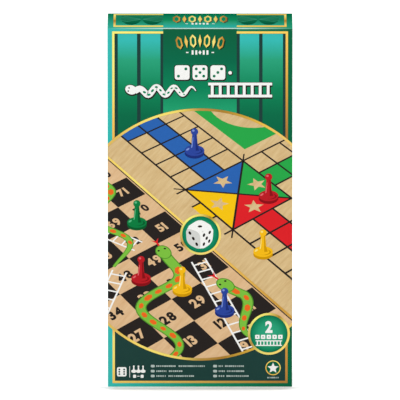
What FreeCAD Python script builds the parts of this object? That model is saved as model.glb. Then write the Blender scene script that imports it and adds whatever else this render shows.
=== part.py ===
import FreeCAD, Part
import os
import Sketcher

# Upright printed box of a family board game: a lid that slides off forwards, the base behind it,
# a formed tray with the pawns and the die, a folded rules leaflet and the folding game board.
# Z is up, the printed front faces -Y, and the origin is the middle of the footprint, on the floor.
# Every length is in millimetres.

DRIVING_SIZES = [
    ("box_width", 135.0, "outside of the lid, left to right"),
    ("box_height", 270.0, "outside of the lid, floor to top"),
    ("box_depth", 48.0, "printed front to the back of the base"),
    ("wall", 1.6, "greyboard with its printed paper"),
    ("edge_round", 0.5, "paper drawn over the edges of the box"),
    ("lid_clearance", 0.4, "between the lid's walls and the base's, on each side"),
    ("lid_reveal", 1.5, "how far the base stands out behind the lid"),
    ("rim_gap", 1.4, "between the base's rim and the lid's front panel"),
    ("pack_gap", 0.3, "between things packed one behind or above the other"),
    ("board_side_gap", 0.9, "between the board's edges and the base's side walls"),
    ("board_head_room", 10.8, "what the base is higher inside than the board"),
    ("board_thickness", 2.0, "greyboard of one board panel"),
    ("sheet_thickness", 0.2, "printed paper on each face of a board panel"),
    ("fold_gap", 0.4, "between the two panels when folded"),
    ("board_corner", 3.0, "rounding of the board's four corners"),
    ("tape_thickness", 0.25, "cloth tape over the board's fold"),
    ("tape_reach", 12.0, "how far the tape lies on each panel"),
    ("tape_glue", 0.05, "glue between the tape and the print"),
    ("tape_slack", 0.3, "between the panels' edges and the tape round them"),
    ("tape_bend", 0.8, "rounding of the tape at the fold"),
    ("leaflet_margin", 9.0, "between the leaflet and the base's side walls"),
    ("leaflet_height", 160.0, "rules leaflet as folded"),
    ("leaf_thickness", 0.3, "one half of the folded leaflet"),
    ("leaf_gap", 0.2, "between the leaflet's halves"),
    ("leaf_bend", 0.35, "rounding of the leaflet's fold"),
    ("tray_clearance", 0.3, "between the tray and the base"),
    ("tray_sheet", 0.8, "plastic sheet that the tray is formed from"),
    ("tray_corner", 2.5, "rounding of the tray's pockets"),
    ("first_row_height", 24.0, "tray's lower edge to the lowest trough"),
    ("finger_radius", 11.0, "finger recess above each trough"),
    ("finger_depth", 10.0, "depth of the finger recesses"),
    ("pawn_diameter", 15.0, "foot of a pawn"),
    ("pawn_height", 26.0, "foot to the top of the head"),
    ("pawn_foot_height", 2.6, "straight side of the foot"),
    ("pawn_dome_height", 2.4, "domed top of the foot"),
    ("pawn_dome_radius", 8.0, "arc of that dome"),
    ("pawn_waist_diameter", 6.0, "stem where it leaves the foot"),
    ("pawn_neck_diameter", 3.1, "stem under the head"),
    ("pawn_stem_radius", 60.0, "hollow arc of the stem"),
    ("pawn_head_diameter", 4.9, "ball head"),
    ("pawn_edge_round", 0.5, "rounding of the foot's edges"),
    ("pawn_gap", 0.6, "between two pawns, and above their heads"),
    ("pawn_sink", 0.4, "how far the pawns lie below the tray's face"),
    ("pawn_back_gap", 0.6, "between the pawns and their trough's back"),
    ("die_size", 16.0, "edge of the die"),
    ("die_round", 2.0, "rounding of the die's edges"),
    ("die_gap", 0.6, "between the die and its pocket"),
    ("die_space", 8.0, "from the top row's share of the tray up to the die's pocket"),
    ("die_head_room", 34.0, "from the die's pocket up to the tray's upper edge"),
    ("die_finger_radius", 7.0, "finger recess above the die"),
    ("pip_radius", 1.9, "ball that cuts a pip"),
    ("pip_depth", 0.9, "how deep a pip is cut"),
    ("pip_spacing", 4.2, "from one pip to the next"),
]
PAWN_COLOURS = ["red", "blue", "green", "yellow"]
PAWNS_IN_ROW = 4
ROW_COUNT = len(PAWN_COLOURS)

doc = FreeCAD.newDocument("boxed_board_game")
sizes = doc.addObject("Spreadsheet::Sheet", "sizes")
for number, (alias, size, meaning) in enumerate(DRIVING_SIZES, start=1):
    sizes.set(f"A{number}", alias)
    sizes.set(f"B{number}", str(size))
    sizes.setAlias(f"B{number}", alias)
    sizes.set(f"C{number}", meaning)
doc.recompute()

# Places and sizes that follow from the driving ones, as text for expressions
BASE_INSET = "(sizes.wall + sizes.lid_clearance)"
BASE_WIDTH = f"(sizes.box_width - 2 * {BASE_INSET})"
BASE_HEIGHT = f"(sizes.box_height - 2 * {BASE_INSET})"
INSIDE_WIDTH = f"({BASE_WIDTH} - 2 * sizes.wall)"
INSIDE_HEIGHT = f"({BASE_HEIGHT} - 2 * sizes.wall)"
INSIDE_FLOOR = f"({BASE_INSET} + sizes.wall)"
LID_INSIDE = "(sizes.wall - sizes.box_depth / 2)"
BASE_INSIDE = "(sizes.box_depth / 2 - sizes.wall)"
PANEL_WIDTH = f"({INSIDE_WIDTH} - 2 * sizes.board_side_gap)"
PANEL_HEIGHT = f"({INSIDE_HEIGHT} - sizes.board_head_room)"
PANEL_STACK = "(sizes.board_thickness + 2 * sizes.sheet_thickness)"
TAPE_STACK = "(sizes.tape_thickness + sizes.tape_glue)"
HALF_BOARD = f"(sizes.fold_gap / 2 + {PANEL_STACK})"
BOARD_MIDDLE = f"({LID_INSIDE} + sizes.pack_gap + {TAPE_STACK} + {HALF_BOARD})"
LEAFLET_FRONT = f"({BOARD_MIDDLE} + {HALF_BOARD} + {TAPE_STACK} + sizes.pack_gap)"
LEAFLET_STACK = "(2 * sizes.leaf_thickness + sizes.leaf_gap)"
TRAY_FRONT = f"({LEAFLET_FRONT} + {LEAFLET_STACK} + sizes.pack_gap)"
TRAY_WIDTH = f"({INSIDE_WIDTH} - 2 * sizes.tray_clearance)"
TRAY_HEIGHT = f"({INSIDE_HEIGHT} - 2 * sizes.tray_clearance)"
TRAY_FLOOR = f"({INSIDE_FLOOR} + sizes.tray_clearance)"
TRAY_DEPTH = f"({BASE_INSIDE} - sizes.tray_clearance - {TRAY_FRONT})"
PAWN_PITCH = "(sizes.pawn_diameter + sizes.pawn_gap)"
TROUGH_WIDTH = (
    f"({PAWNS_IN_ROW} * {PAWN_PITCH} + sizes.pawn_gap + 2 * sizes.tray_corner)"
)
TROUGH_HEIGHT = "(sizes.pawn_height + sizes.pack_gap + sizes.pawn_gap)"
TROUGH_DEPTH = "(sizes.pawn_sink + sizes.pawn_diameter + sizes.pawn_back_gap)"
DIE_POCKET = "(sizes.die_size + 2 * sizes.die_gap)"
DIE_LEVEL = f"({TRAY_HEIGHT} - sizes.die_head_room - {DIE_POCKET})"
DIE_FLOOR = f"({TRAY_FLOOR} + {DIE_LEVEL})"
ROW_PITCH = f"(({DIE_LEVEL} - sizes.die_space - sizes.first_row_height) / {ROW_COUNT})"


def value(expression):
    return float(sizes.evalExpression(expression))


def trough_floor(row):
    return f"({TRAY_FLOOR} + sizes.first_row_height + {row} * {ROW_PITCH})"


# Drawing helpers


def put(thing, across="0", back="0", up="0"):
    thing.setExpression("Placement.Base.x", across)
    thing.setExpression("Placement.Base.y", back)
    thing.setExpression("Placement.Base.z", up)
    return thing


def new_body(name):
    body = doc.addObject("PartDesign::Body", name)
    body.Label = name
    return body


def new_sketch(body, name, role, offset=None):
    plane = [item for item in body.Origin.OriginFeatures if item.Role == role][0]
    sketch = body.newObject("Sketcher::SketchObject", name)
    sketch.AttachmentSupport = [(plane, "")]
    sketch.MapMode = "FlatFace"
    if offset is not None:
        sketch.setExpression("AttachmentOffset.Base.z", offset)
    return sketch


def bind(sketch, kind, geometry, point, expression):
    number = sketch.addConstraint(
        Sketcher.Constraint(kind, -1, 1, geometry, point, value(expression))
    )
    sketch.setExpression(f"Constraints[{number}]", expression)


def draw_rectangle(sketch, left, right, low, high):
    corners = [(left, low), (right, low), (right, high), (left, high)]
    spots = [FreeCAD.Vector(value(across), value(up), 0) for across, up in corners]
    for number in range(len(spots)):
        following = spots[(number + 1) % len(spots)]
        sketch.addGeometry(Part.LineSegment(spots[number], following), False)
    for number in range(len(spots)):
        following = (number + 1) % len(spots)
        sketch.addConstraint(Sketcher.Constraint("Coincident", number, 2, following, 1))
    for number in (0, 2):
        sketch.addConstraint(Sketcher.Constraint("Horizontal", number))
    for number in (1, 3):
        sketch.addConstraint(Sketcher.Constraint("Vertical", number))
    bind(sketch, "DistanceX", 0, 1, left)
    bind(sketch, "DistanceX", 2, 1, right)
    bind(sketch, "DistanceY", 0, 1, low)
    bind(sketch, "DistanceY", 2, 1, high)


def pad(body, name, sketch, length):
    feature = body.newObject("PartDesign::Pad", name)
    feature.Profile = sketch
    feature.setExpression("Length", length)
    return feature


def pocket(body, name, sketch, length, reversed_way):
    before = body.Tip.Shape.Volume
    feature = body.newObject("PartDesign::Pocket", name)
    feature.Profile = sketch
    feature.Reversed = reversed_way
    feature.setExpression("Length", length)
    doc.recompute()
    if not feature.Shape.Volume < before:
        raise RuntimeError(f"{name} cuts nothing")
    return feature


def round_edges(body, name, base, radius, wanted):
    names = [
        f"Edge{number}"
        for number, edge in enumerate(base.Shape.Edges, start=1)
        if wanted(edge)
    ]
    feature = body.newObject("PartDesign::Fillet", name)
    feature.Base = (base, names)
    feature.setExpression("Radius", radius)
    return feature


def runs_along(edge, direction):
    if len(edge.Vertexes) != 2 or not isinstance(edge.Curve, Part.Line):
        return False
    return abs(edge.Curve.Direction.dot(direction)) > 1 - Part.Precision.angular()


def is_ring(edge, radius):
    if edge.Degenerated or not isinstance(edge.Curve, Part.Circle):
        return False
    level = abs(edge.Curve.Axis.z) > 1 - Part.Precision.angular()
    return level and abs(edge.Curve.Radius - radius) < Part.Precision.confusion()


def box_solid(name, low, span):
    box = doc.addObject("Part::Box", name)
    for key, length in zip(("Length", "Width", "Height"), span):
        box.setExpression(key, length)
    return put(box, *low)


# Lid and base of the box: both are shallow trays of greyboard, folded up round a front or a back


def make_lid():
    depth = "(sizes.box_depth - sizes.lid_reveal)"
    body = new_body("box_lid")
    half_width = "sizes.box_width / 2"
    outside = new_sketch(body, "lid_outside", "XZ_Plane")
    draw_rectangle(outside, f"-{half_width}", half_width, "0", "sizes.box_height")
    block = pad(body, "lid_block", outside, depth)
    doc.recompute()
    front = -value(depth)
    rounded = round_edges(
        body,
        "lid_edges",
        block,
        "sizes.edge_round",
        lambda edge: runs_along(edge, FreeCAD.Vector(0, 1, 0))
        or abs(edge.CenterOfMass.y - front) < value("sizes.edge_round"),
    )
    doc.recompute()
    body.Tip = rounded
    inside = new_sketch(body, "lid_inside", "XZ_Plane")
    wall_in = f"({half_width} - sizes.wall)"
    draw_rectangle(
        inside, f"-{wall_in}", wall_in, "sizes.wall", "(sizes.box_height - sizes.wall)"
    )
    pocket(body, "lid_hollow", inside, f"{depth} - sizes.wall", True)
    return put(body, back="sizes.box_depth / 2 - sizes.lid_reveal")


def make_base():
    depth = "(sizes.box_depth - sizes.wall - sizes.rim_gap)"
    body = new_body("box_base")
    half_width = f"({BASE_WIDTH} / 2)"
    outside = new_sketch(body, "base_outside", "XZ_Plane")
    draw_rectangle(outside, f"-{half_width}", half_width, "0", BASE_HEIGHT)
    block = pad(body, "base_block", outside, depth)
    doc.recompute()
    rounded = round_edges(
        body,
        "base_edges",
        block,
        "sizes.edge_round",
        lambda edge: runs_along(edge, FreeCAD.Vector(0, 1, 0))
        or abs(edge.CenterOfMass.y) < value("sizes.edge_round"),
    )
    doc.recompute()
    body.Tip = rounded
    inside = new_sketch(body, "base_inside", "XZ_Plane", depth)
    wall_in = f"({half_width} - sizes.wall)"
    draw_rectangle(
        inside, f"-{wall_in}", wall_in, "sizes.wall", f"({BASE_HEIGHT} - sizes.wall)"
    )
    pocket(body, "base_hollow", inside, f"{depth} - sizes.wall", False)
    return put(body, back="sizes.box_depth / 2", up=BASE_INSET)


# Folding board: two greyboard panels, a printed sheet on each face and a cloth tape round the fold


def make_board_layer(name, thickness, back_face):
    body = new_body(name)
    half_width = f"({PANEL_WIDTH} / 2)"
    face = new_sketch(body, f"{name}_face", "XZ_Plane")
    draw_rectangle(face, f"-{half_width}", half_width, "0", PANEL_HEIGHT)
    block = pad(body, f"{name}_block", face, thickness)
    doc.recompute()
    body.Tip = round_edges(
        body,
        f"{name}_corners",
        block,
        "sizes.board_corner",
        lambda edge: runs_along(edge, FreeCAD.Vector(0, 1, 0))
        and edge.CenterOfMass.x > 0,
    )
    return put(
        body, back=f"{BOARD_MIDDLE} + {back_face}", up=f"{INSIDE_FLOOR} + sizes.pack_gap"
    )


def make_board():
    inner = "sizes.fold_gap / 2"
    sheet = "sizes.sheet_thickness"
    card = "sizes.board_thickness"
    return [
        make_board_layer("rear_ladders_sheet", sheet, f"{inner} + {sheet}"),
        make_board_layer("rear_panel", card, f"{inner} + {sheet} + {card}"),
        make_board_layer("rear_ludo_sheet", sheet, f"{inner} + {PANEL_STACK}"),
        make_board_layer("front_ladders_sheet", sheet, f"(-{inner})"),
        make_board_layer("front_panel", card, f"(-{inner} - {sheet})"),
        make_board_layer("front_ludo_sheet", sheet, f"(-{inner} - {sheet} - {card})"),
    ]


# A strip folded double: a block with a slot that is open to the right and a rounded left side


def make_folded(name, width, height, sheet, gap, bend):
    body = new_body(name)
    half = f"(({gap}) / 2 + {sheet})"
    outside = new_sketch(body, f"{name}_outside", "XY_Plane")
    draw_rectangle(outside, "0", width, f"-{half}", half)
    block = pad(body, f"{name}_block", outside, height)
    doc.recompute()
    rounded = round_edges(
        body,
        f"{name}_bend",
        block,
        bend,
        lambda edge: runs_along(edge, FreeCAD.Vector(0, 0, 1))
        and abs(edge.CenterOfMass.x) < value(sheet),
    )
    doc.recompute()
    body.Tip = rounded
    inside = new_sketch(body, f"{name}_inside", "XY_Plane")
    draw_rectangle(inside, sheet, width, f"-({gap}) / 2", f"({gap}) / 2")
    pocket(body, f"{name}_slot", inside, height, True)
    return body


def make_hinge_tape():
    spine = "(sizes.tape_slack + sizes.tape_thickness)"
    tape = make_folded(
        "hinge_tape",
        f"(sizes.tape_reach + {spine})",
        PANEL_HEIGHT,
        "sizes.tape_thickness",
        f"2 * ({HALF_BOARD} + sizes.tape_glue)",
        "sizes.tape_bend",
    )
    return put(
        tape,
        f"-{PANEL_WIDTH} / 2 - {spine}",
        BOARD_MIDDLE,
        f"{INSIDE_FLOOR} + sizes.pack_gap",
    )


def make_leaflet():
    width = f"({INSIDE_WIDTH} - 2 * sizes.leaflet_margin)"
    leaflet = make_folded(
        "rules_leaflet",
        width,
        "sizes.leaflet_height",
        "sizes.leaf_thickness",
        "sizes.leaf_gap",
        "sizes.leaf_bend",
    )
    return put(
        leaflet,
        f"-{width} / 2",
        f"{LEAFLET_FRONT} + {LEAFLET_STACK} / 2",
        f"{INSIDE_FLOOR} + sizes.pack_gap",
    )


# Tray formed from one plastic sheet: a face with a skirt, troughs, a die pocket, finger recesses


def make_rounded_box(name, low, span, radius):
    box = box_solid(f"{name}_block", low, span)
    doc.recompute()
    rounded = doc.addObject("Part::Fillet", name)
    rounded.Base = box
    rounded.Edges = [
        (number, value(radius), value(radius))
        for number, edge in enumerate(box.Shape.Edges, start=1)
        if runs_along(edge, FreeCAD.Vector(0, 1, 0))
    ]
    return rounded


def make_recess(name, radius, depth, up):
    recess = doc.addObject("Part::Cylinder", name)
    recess.setExpression("Radius", radius)
    recess.setExpression("Height", depth)
    recess.Placement.Rotation = FreeCAD.Rotation(FreeCAD.Vector(-1, 0, 0), 90)
    return put(recess, "0", TRAY_FRONT, up)


def make_pocket_pair(name, width, height, depth, floor, finger_radius):
    sheet = "sizes.tray_sheet"
    hollow = [
        make_rounded_box(
            f"{name}_hollow",
            (f"-{width} / 2", TRAY_FRONT, floor),
            (width, depth, height),
            "sizes.tray_corner",
        ),
        make_recess(
            f"{name}_finger", finger_radius, "sizes.finger_depth", f"{floor} + {height}"
        ),
    ]
    jacket = [
        make_rounded_box(
            f"{name}_jacket",
            (f"-{width} / 2 - {sheet}", TRAY_FRONT, f"{floor} - {sheet}"),
            (f"{width} + 2 * {sheet}", f"{depth} + {sheet}", f"{height} + 2 * {sheet}"),
            f"sizes.tray_corner + {sheet}",
        ),
        make_recess(
            f"{name}_finger_jacket",
            f"{finger_radius} + {sheet}",
            f"sizes.finger_depth + {sheet}",
            f"{floor} + {height}",
        ),
    ]
    return hollow, jacket


def make_tray():
    sheet = "sizes.tray_sheet"
    block = make_rounded_box(
        "tray_block",
        (f"-{TRAY_WIDTH} / 2", TRAY_FRONT, TRAY_FLOOR),
        (TRAY_WIDTH, TRAY_DEPTH, TRAY_HEIGHT),
        "sizes.tray_corner",
    )
    behind = make_rounded_box(
        "tray_behind",
        (f"-{TRAY_WIDTH} / 2 + {sheet}", f"{TRAY_FRONT} + {sheet}", f"{TRAY_FLOOR} + {sheet}"),
        (f"{TRAY_WIDTH} - 2 * {sheet}", TRAY_DEPTH, f"{TRAY_HEIGHT} - 2 * {sheet}"),
        f"sizes.tray_corner - {sheet}",
    )
    skirt = doc.addObject("Part::Cut", "tray_skirt")
    skirt.Base = block
    skirt.Tool = behind
    hollows, jackets = [], [skirt]
    for row in range(ROW_COUNT):
        hollow, jacket = make_pocket_pair(
            f"trough_{row + 1}",
            TROUGH_WIDTH,
            TROUGH_HEIGHT,
            TROUGH_DEPTH,
            trough_floor(row),
            "sizes.finger_radius",
        )
        hollows += hollow
        jackets += jacket
    hollow, jacket = make_pocket_pair(
        "die_pocket",
        DIE_POCKET,
        DIE_POCKET,
        "(sizes.pawn_sink + sizes.die_size + sizes.pawn_back_gap)",
        DIE_FLOOR,
        "sizes.die_finger_radius",
    )
    hollows += hollow
    jackets += jacket
    formed = doc.addObject("Part::MultiFuse", "tray_formed")
    formed.Shapes = jackets
    pressed = doc.addObject("Part::MultiFuse", "tray_pressed")
    pressed.Shapes = hollows
    tray = doc.addObject("Part::Cut", "tray")
    tray.Base = formed
    tray.Tool = pressed
    tray.Label = "tray"
    return tray


# Pawn: one turned outline, with a domed foot, a hollow stem and a ball head


def draw_turned_outline(sketch, corners):
    spots = [FreeCAD.Vector(value(across), value(up), 0) for across, up, _ in corners]
    joints = []
    for number, (_, _, radius) in enumerate(corners):
        start = spots[number]
        end = spots[(number + 1) % len(spots)]
        if radius is None:
            index = sketch.addGeometry(Part.LineSegment(start, end), False)
            joints.append((index, 1, 2))
            continue
        reach = value(radius)
        chord = end - start
        side = FreeCAD.Vector(-chord.y, chord.x, 0) / chord.Length
        drop = (abs(reach) ** 2 - (chord.Length / 2) ** 2) ** 0.5
        turns_left = reach > 0
        centre = (start + end) / 2 + side * (drop if turns_left else -drop)
        circle = Part.Circle(centre, FreeCAD.Vector(0, 0, 1), abs(reach))
        first, last = (start, end) if turns_left else (end, start)
        arc = Part.ArcOfCircle(circle, circle.parameter(first), circle.parameter(last))
        index = sketch.addGeometry(arc, False)
        joints.append((index, 1, 2) if turns_left else (index, 2, 1))
        size = sketch.addConstraint(Sketcher.Constraint("Radius", index, abs(reach)))
        sketch.setExpression(f"Constraints[{size}]", radius if turns_left else f"-({radius})")
    for number, (index, _, end) in enumerate(joints):
        following, start, _ = joints[(number + 1) % len(joints)]
        sketch.addConstraint(Sketcher.Constraint("Coincident", index, end, following, start))
    for (index, start, _), (across, up, _) in zip(joints, corners):
        bind(sketch, "DistanceX", index, start, across)
        bind(sketch, "DistanceY", index, start, up)


def make_pawn(name, across, floor):
    body = new_body(name)
    foot = "sizes.pawn_diameter / 2"
    neck = "(sizes.pawn_neck_diameter / 2)"
    head = "(sizes.pawn_head_diameter / 2)"
    chin = f"(sizes.pawn_height - {head} - sqrt({head} * {head} - {neck} * {neck}))"
    outline = new_sketch(body, f"{name}_outline", "XZ_Plane")
    draw_turned_outline(
        outline,
        [
            ("0", "0", None),
            (foot, "0", None),
            (foot, "sizes.pawn_foot_height", "sizes.pawn_dome_radius"),
            (
                "sizes.pawn_waist_diameter / 2",
                "sizes.pawn_foot_height + sizes.pawn_dome_height",
                "-sizes.pawn_stem_radius",
            ),
            (neck, chin, head),
            ("0", "sizes.pawn_height", None),
        ],
    )
    turned = body.newObject("PartDesign::Revolution", f"{name}_turned")
    turned.Profile = outline
    turned.ReferenceAxis = (outline, ["V_Axis"])
    turned.Angle = 360
    doc.recompute()
    foot_radius = value(foot)
    body.Tip = round_edges(
        body,
        f"{name}_foot_edges",
        turned,
        "sizes.pawn_edge_round",
        lambda edge: is_ring(edge, foot_radius),
    )
    back = f"{TRAY_FRONT} + sizes.pawn_sink + {foot}"
    return put(body, across, back, f"{floor} + sizes.pack_gap")


def make_pawns():
    pawns = []
    for row, colour in enumerate(PAWN_COLOURS):
        for place in range(PAWNS_IN_ROW):
            across = f"({2 * place + 1 - PAWNS_IN_ROW} * {PAWN_PITCH} / 2)"
            name = f"pawn_{colour}_{place + 1}"
            pawns.append(make_pawn(name, across, trough_floor(row)))
    return pawns


# Die: rounded cube with pips cut by balls; opposite faces add up to seven

PIP_PLACE_SHARES = {
    "x": [(-1, -1), (0, 0), (1, 1)],
    "-x": [(-1, -1), (-1, 1), (1, -1), (1, 1)],
    "y": [(-1, -1), (-1, 0), (-1, 1), (1, -1), (1, 0), (1, 1)],
    "-y": [(0, 0)],
    "z": [(-1, -1), (1, 1)],
    "-z": [(-1, -1), (-1, 1), (0, 0), (1, -1), (1, 1)],
}


def pip_spot(face, along, up, middle):
    """Expressions for the centre of the ball that cuts one pip, round the die's middle."""
    out = "(sizes.die_size / 2 + sizes.pip_radius - sizes.pip_depth)"
    axis = face[-1]
    reach = f"-{out}" if face.startswith("-") else out
    steps = [f"({step}) * sizes.pip_spacing" for step in (along, up)]
    order = {"x": [reach] + steps, "y": [steps[0], reach, steps[1]], "z": steps + [reach]}
    return [f"{centre} + {offset}" for centre, offset in zip(middle, order[axis])]


def make_die():
    half = "sizes.die_size / 2"
    low = (f"-{half}", f"{TRAY_FRONT} + sizes.pawn_sink", f"{DIE_FLOOR} + sizes.pack_gap")
    cube = box_solid("die_cube", low, ["sizes.die_size"] * 3)
    doc.recompute()
    rounded = doc.addObject("Part::Fillet", "die_rounded")
    rounded.Base = cube
    radius = value("sizes.die_round")
    rounded.Edges = [
        (number, radius, radius) for number in range(1, len(cube.Shape.Edges) + 1)
    ]
    middle = [f"{edge} + {half}" for edge in low]
    balls = []
    for face, places in PIP_PLACE_SHARES.items():
        for number, (along, up) in enumerate(places, start=1):
            name = f"pip_{face.replace('-', 'minus_')}_{number}"
            ball = doc.addObject("Part::Sphere", name)
            ball.setExpression("Radius", "sizes.pip_radius")
            balls.append(put(ball, *pip_spot(face, along, up, middle)))
    pips = doc.addObject("Part::MultiFuse", "die_pips")
    pips.Shapes = balls
    die = doc.addObject("Part::Cut", "die")
    die.Base = rounded
    die.Tool = pips
    die.Label = "die"
    return die


def check_document():
    for item in doc.Objects:
        if "Invalid" in item.State or "Error" in item.State:
            raise RuntimeError(f"{item.Label} failed: {item.State}")


def main():
    parts = [make_base(), make_tray(), make_lid()] + make_board()
    parts += [make_hinge_tape(), make_leaflet(), make_die()] + make_pawns()
    doc.recompute()
    check_document()
    os.makedirs("parts", exist_ok=True)
    for part in parts:
        shape = part.Shape
        if shape.isNull() or not shape.isValid() or len(shape.Solids) != 1:
            raise RuntimeError(f"{part.Label} isn't one valid solid")
    for part in parts:
        part.Shape.exportStep(f"parts/{part.Label}.step")
        box = part.Shape.optimalBoundingBox()
        print(
            f"{part.Label:22} {part.Shape.Volume:10.1f} mm3  x {box.XMin:.2f} {box.XMax:.2f}"
            f"  y {box.YMin:.2f} {box.YMax:.2f}  z {box.ZMin:.2f} {box.ZMax:.2f}"
        )


main()
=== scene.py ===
import math
import bmesh
import bpy
from mathutils import Matrix, Vector


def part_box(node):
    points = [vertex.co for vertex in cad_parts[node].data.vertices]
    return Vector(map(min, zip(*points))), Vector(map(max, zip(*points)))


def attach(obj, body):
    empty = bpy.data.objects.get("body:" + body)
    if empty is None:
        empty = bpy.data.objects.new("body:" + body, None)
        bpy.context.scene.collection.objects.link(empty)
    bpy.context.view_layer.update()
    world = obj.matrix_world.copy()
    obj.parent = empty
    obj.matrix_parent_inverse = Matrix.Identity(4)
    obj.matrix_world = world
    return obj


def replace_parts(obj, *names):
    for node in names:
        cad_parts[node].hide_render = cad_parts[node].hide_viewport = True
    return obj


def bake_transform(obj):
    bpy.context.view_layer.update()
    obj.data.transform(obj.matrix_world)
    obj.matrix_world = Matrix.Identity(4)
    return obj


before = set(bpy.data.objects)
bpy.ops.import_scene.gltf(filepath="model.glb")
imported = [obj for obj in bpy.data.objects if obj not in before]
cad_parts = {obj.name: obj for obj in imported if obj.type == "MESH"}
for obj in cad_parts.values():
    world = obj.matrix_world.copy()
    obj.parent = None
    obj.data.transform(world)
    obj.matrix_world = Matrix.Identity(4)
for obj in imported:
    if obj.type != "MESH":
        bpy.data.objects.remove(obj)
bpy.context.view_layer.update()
mm = 0.001
scene = bpy.context.scene
toRight, toBack, toTop = (1, 0, 0), (0, 1, 0), (0, 0, 1)

camera = {
    "distance": 12.0,
    "tilt": 14.1,               # degrees below the horizontal
    "aim": 0.1349,              # height of the point in the middle of the picture
    "focalPixels": 16428,
    "picturePixels": 400,
    "sensor": 36.0,
    "clipEnd": 30,
}


def setCamera():
    lens = bpy.data.cameras.new("camera")
    lens.sensor_width = camera["sensor"]
    lens.lens = camera["focalPixels"] / camera["picturePixels"] * camera["sensor"]
    lens.clip_end = camera["clipEnd"]
    holder = bpy.data.objects.new("camera", lens)
    scene.collection.objects.link(holder)
    tilt, far = math.radians(camera["tilt"]), camera["distance"]
    holder.location = (0, -far * math.cos(tilt), camera["aim"] + far * math.sin(tilt))
    holder.rotation_euler = (math.pi / 2 - tilt, 0, 0)
    scene.camera = holder


setCamera()
print("camera set")


# Colours and nodes

def srgb(code):
    parts = [int(code[start:start + 2], 16) / 255 for start in (1, 3, 5)]
    linear = [part / 12.92 if part < 0.04045 else ((part + 0.055) / 1.055) ** 2.4 for part in parts]
    return (*linear, 1.0)


def feed(tree, sockets, values):            # each value is a link or a number
    for key, value in values.items():
        if isinstance(value, bpy.types.NodeSocket):
            tree.links.new(value, sockets[key])
        else:
            sockets[key].default_value = value


def addNode(tree, kind, inputs=None, **settings):
    node = tree.nodes.new(kind)
    for key, value in settings.items():
        setattr(node, key, value)
    feed(tree, node.inputs, inputs or {})
    return node.outputs


def calc(tree, operation, *values):
    return addNode(tree, "ShaderNodeMath", dict(enumerate(values)), operation=operation)[0]


def vectorCalc(tree, operation, inputs, output="Vector"):
    return addNode(tree, "ShaderNodeVectorMath", inputs, operation=operation)[output]


def noise(tree, place, scale, detail=2.0):
    return addNode(tree, "ShaderNodeTexNoise", {"Vector": place, "Scale": scale, "Detail": detail})["Fac"]


def bump(tree, height, strength, distance):
    inputs = {"Height": height, "Strength": strength, "Distance": distance}
    return addNode(tree, "ShaderNodeBump", inputs)["Normal"]


def spread(tree, value, low, high):         # 0 at low to 1 at high
    return addNode(tree, "ShaderNodeMapRange", {"Value": value, "From Min": low, "From Max": high})["Result"]


def ramp(tree, factor, stops):
    node = tree.nodes.new("ShaderNodeValToRGB")
    feed(tree, node.inputs, {"Fac": factor})
    elements = node.color_ramp.elements
    while len(elements) < len(stops):
        elements.new(0.5)
    for element, (place, colour) in zip(elements, stops):
        element.position, element.color = place, srgb(colour)
    return node.outputs["Color"]


def blendColours(tree, factor, first, second):
    return addNode(tree, "ShaderNodeMix", {0: factor, 6: first, 7: second}, data_type="RGBA")[2]


def objectPlace(tree):
    return addNode(tree, "ShaderNodeTexCoord")["Object"]


def along(tree, direction, low, high):      # 0 to 1 along a direction, between two places in millimetres
    reach = vectorCalc(tree, "DOT_PRODUCT", {0: objectPlace(tree), 1: direction}, "Value")
    return spread(tree, reach, low * mm, high * mm)


def newTree(kind, name, inputs, outputs):   # a socket's row is its default value, or else its kind
    tree = bpy.data.node_groups.new(name, kind)
    for way, rows in (("INPUT", inputs), ("OUTPUT", outputs)):
        for key, value in rows.items():
            socketKind = value if isinstance(value, str) else {float: "Float", int: "Int"}[type(value)]
            socket = tree.interface.new_socket(key, in_out=way, socket_type="NodeSocket" + socketKind)
            if value != socketKind:
                socket.default_value = value
    return tree, tree.nodes.new("NodeGroupInput").outputs, tree.nodes.new("NodeGroupOutput").inputs


def makePaperGrain():       # printed paper: faint mottling of the ink, fibre height and uneven varnish
    inputs = {"Colour": "Color", "Fibre Scale": 2600.0, "Mottle": 0.05, "Gloss": 0.42}
    outputs = {"Colour": "Color", "Roughness": "Float", "Height": "Float"}
    tree, given, result = newTree("ShaderNodeTree", "paperGrain", inputs, outputs)
    place = objectPlace(tree)
    fibres, clouds = noise(tree, place, given["Fibre Scale"], 3.0), noise(tree, place, 55.0)
    swing = calc(tree, "SUBTRACT", calc(tree, "ADD", fibres, clouds), 1.0)
    level = calc(tree, "MULTIPLY_ADD", swing, given["Mottle"], 1.0)
    inked = {
        "Colour": vectorCalc(tree, "SCALE", {0: given["Colour"], "Scale": level}),
        "Roughness": calc(tree, "MULTIPLY_ADD", swing, 0.12, given["Gloss"]),
        "Height": calc(tree, "MULTIPLY_ADD", clouds, 0.4, fibres),
    }
    feed(tree, result, inked)
    return tree


def makeWoodGrain():        # printed wood: long pale and dark streaks
    inputs = {"Pale": "Color", "Dark": "Color", "Turn": "Vector", "Stretch": "Vector"}
    tree, given, result = newTree("ShaderNodeTree", "woodGrain", inputs, {"Colour": "Color"})
    angles = {"Vector": objectPlace(tree), "Rotation": given["Turn"]}
    turned = addNode(tree, "ShaderNodeVectorRotate", angles, rotation_type="EULER_XYZ")["Vector"]
    streaked = vectorCalc(tree, "MULTIPLY", {0: turned, 1: given["Stretch"]})
    fine, wide = noise(tree, streaked, 4.2, 3.0), noise(tree, streaked, 1.0, 5.0)
    share = spread(tree, calc(tree, "MULTIPLY_ADD", fine, 0.55, wide), 0.5, 1.05)
    feed(tree, result, {"Colour": blendColours(tree, share, given["Dark"], given["Pale"])})
    return tree


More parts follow.
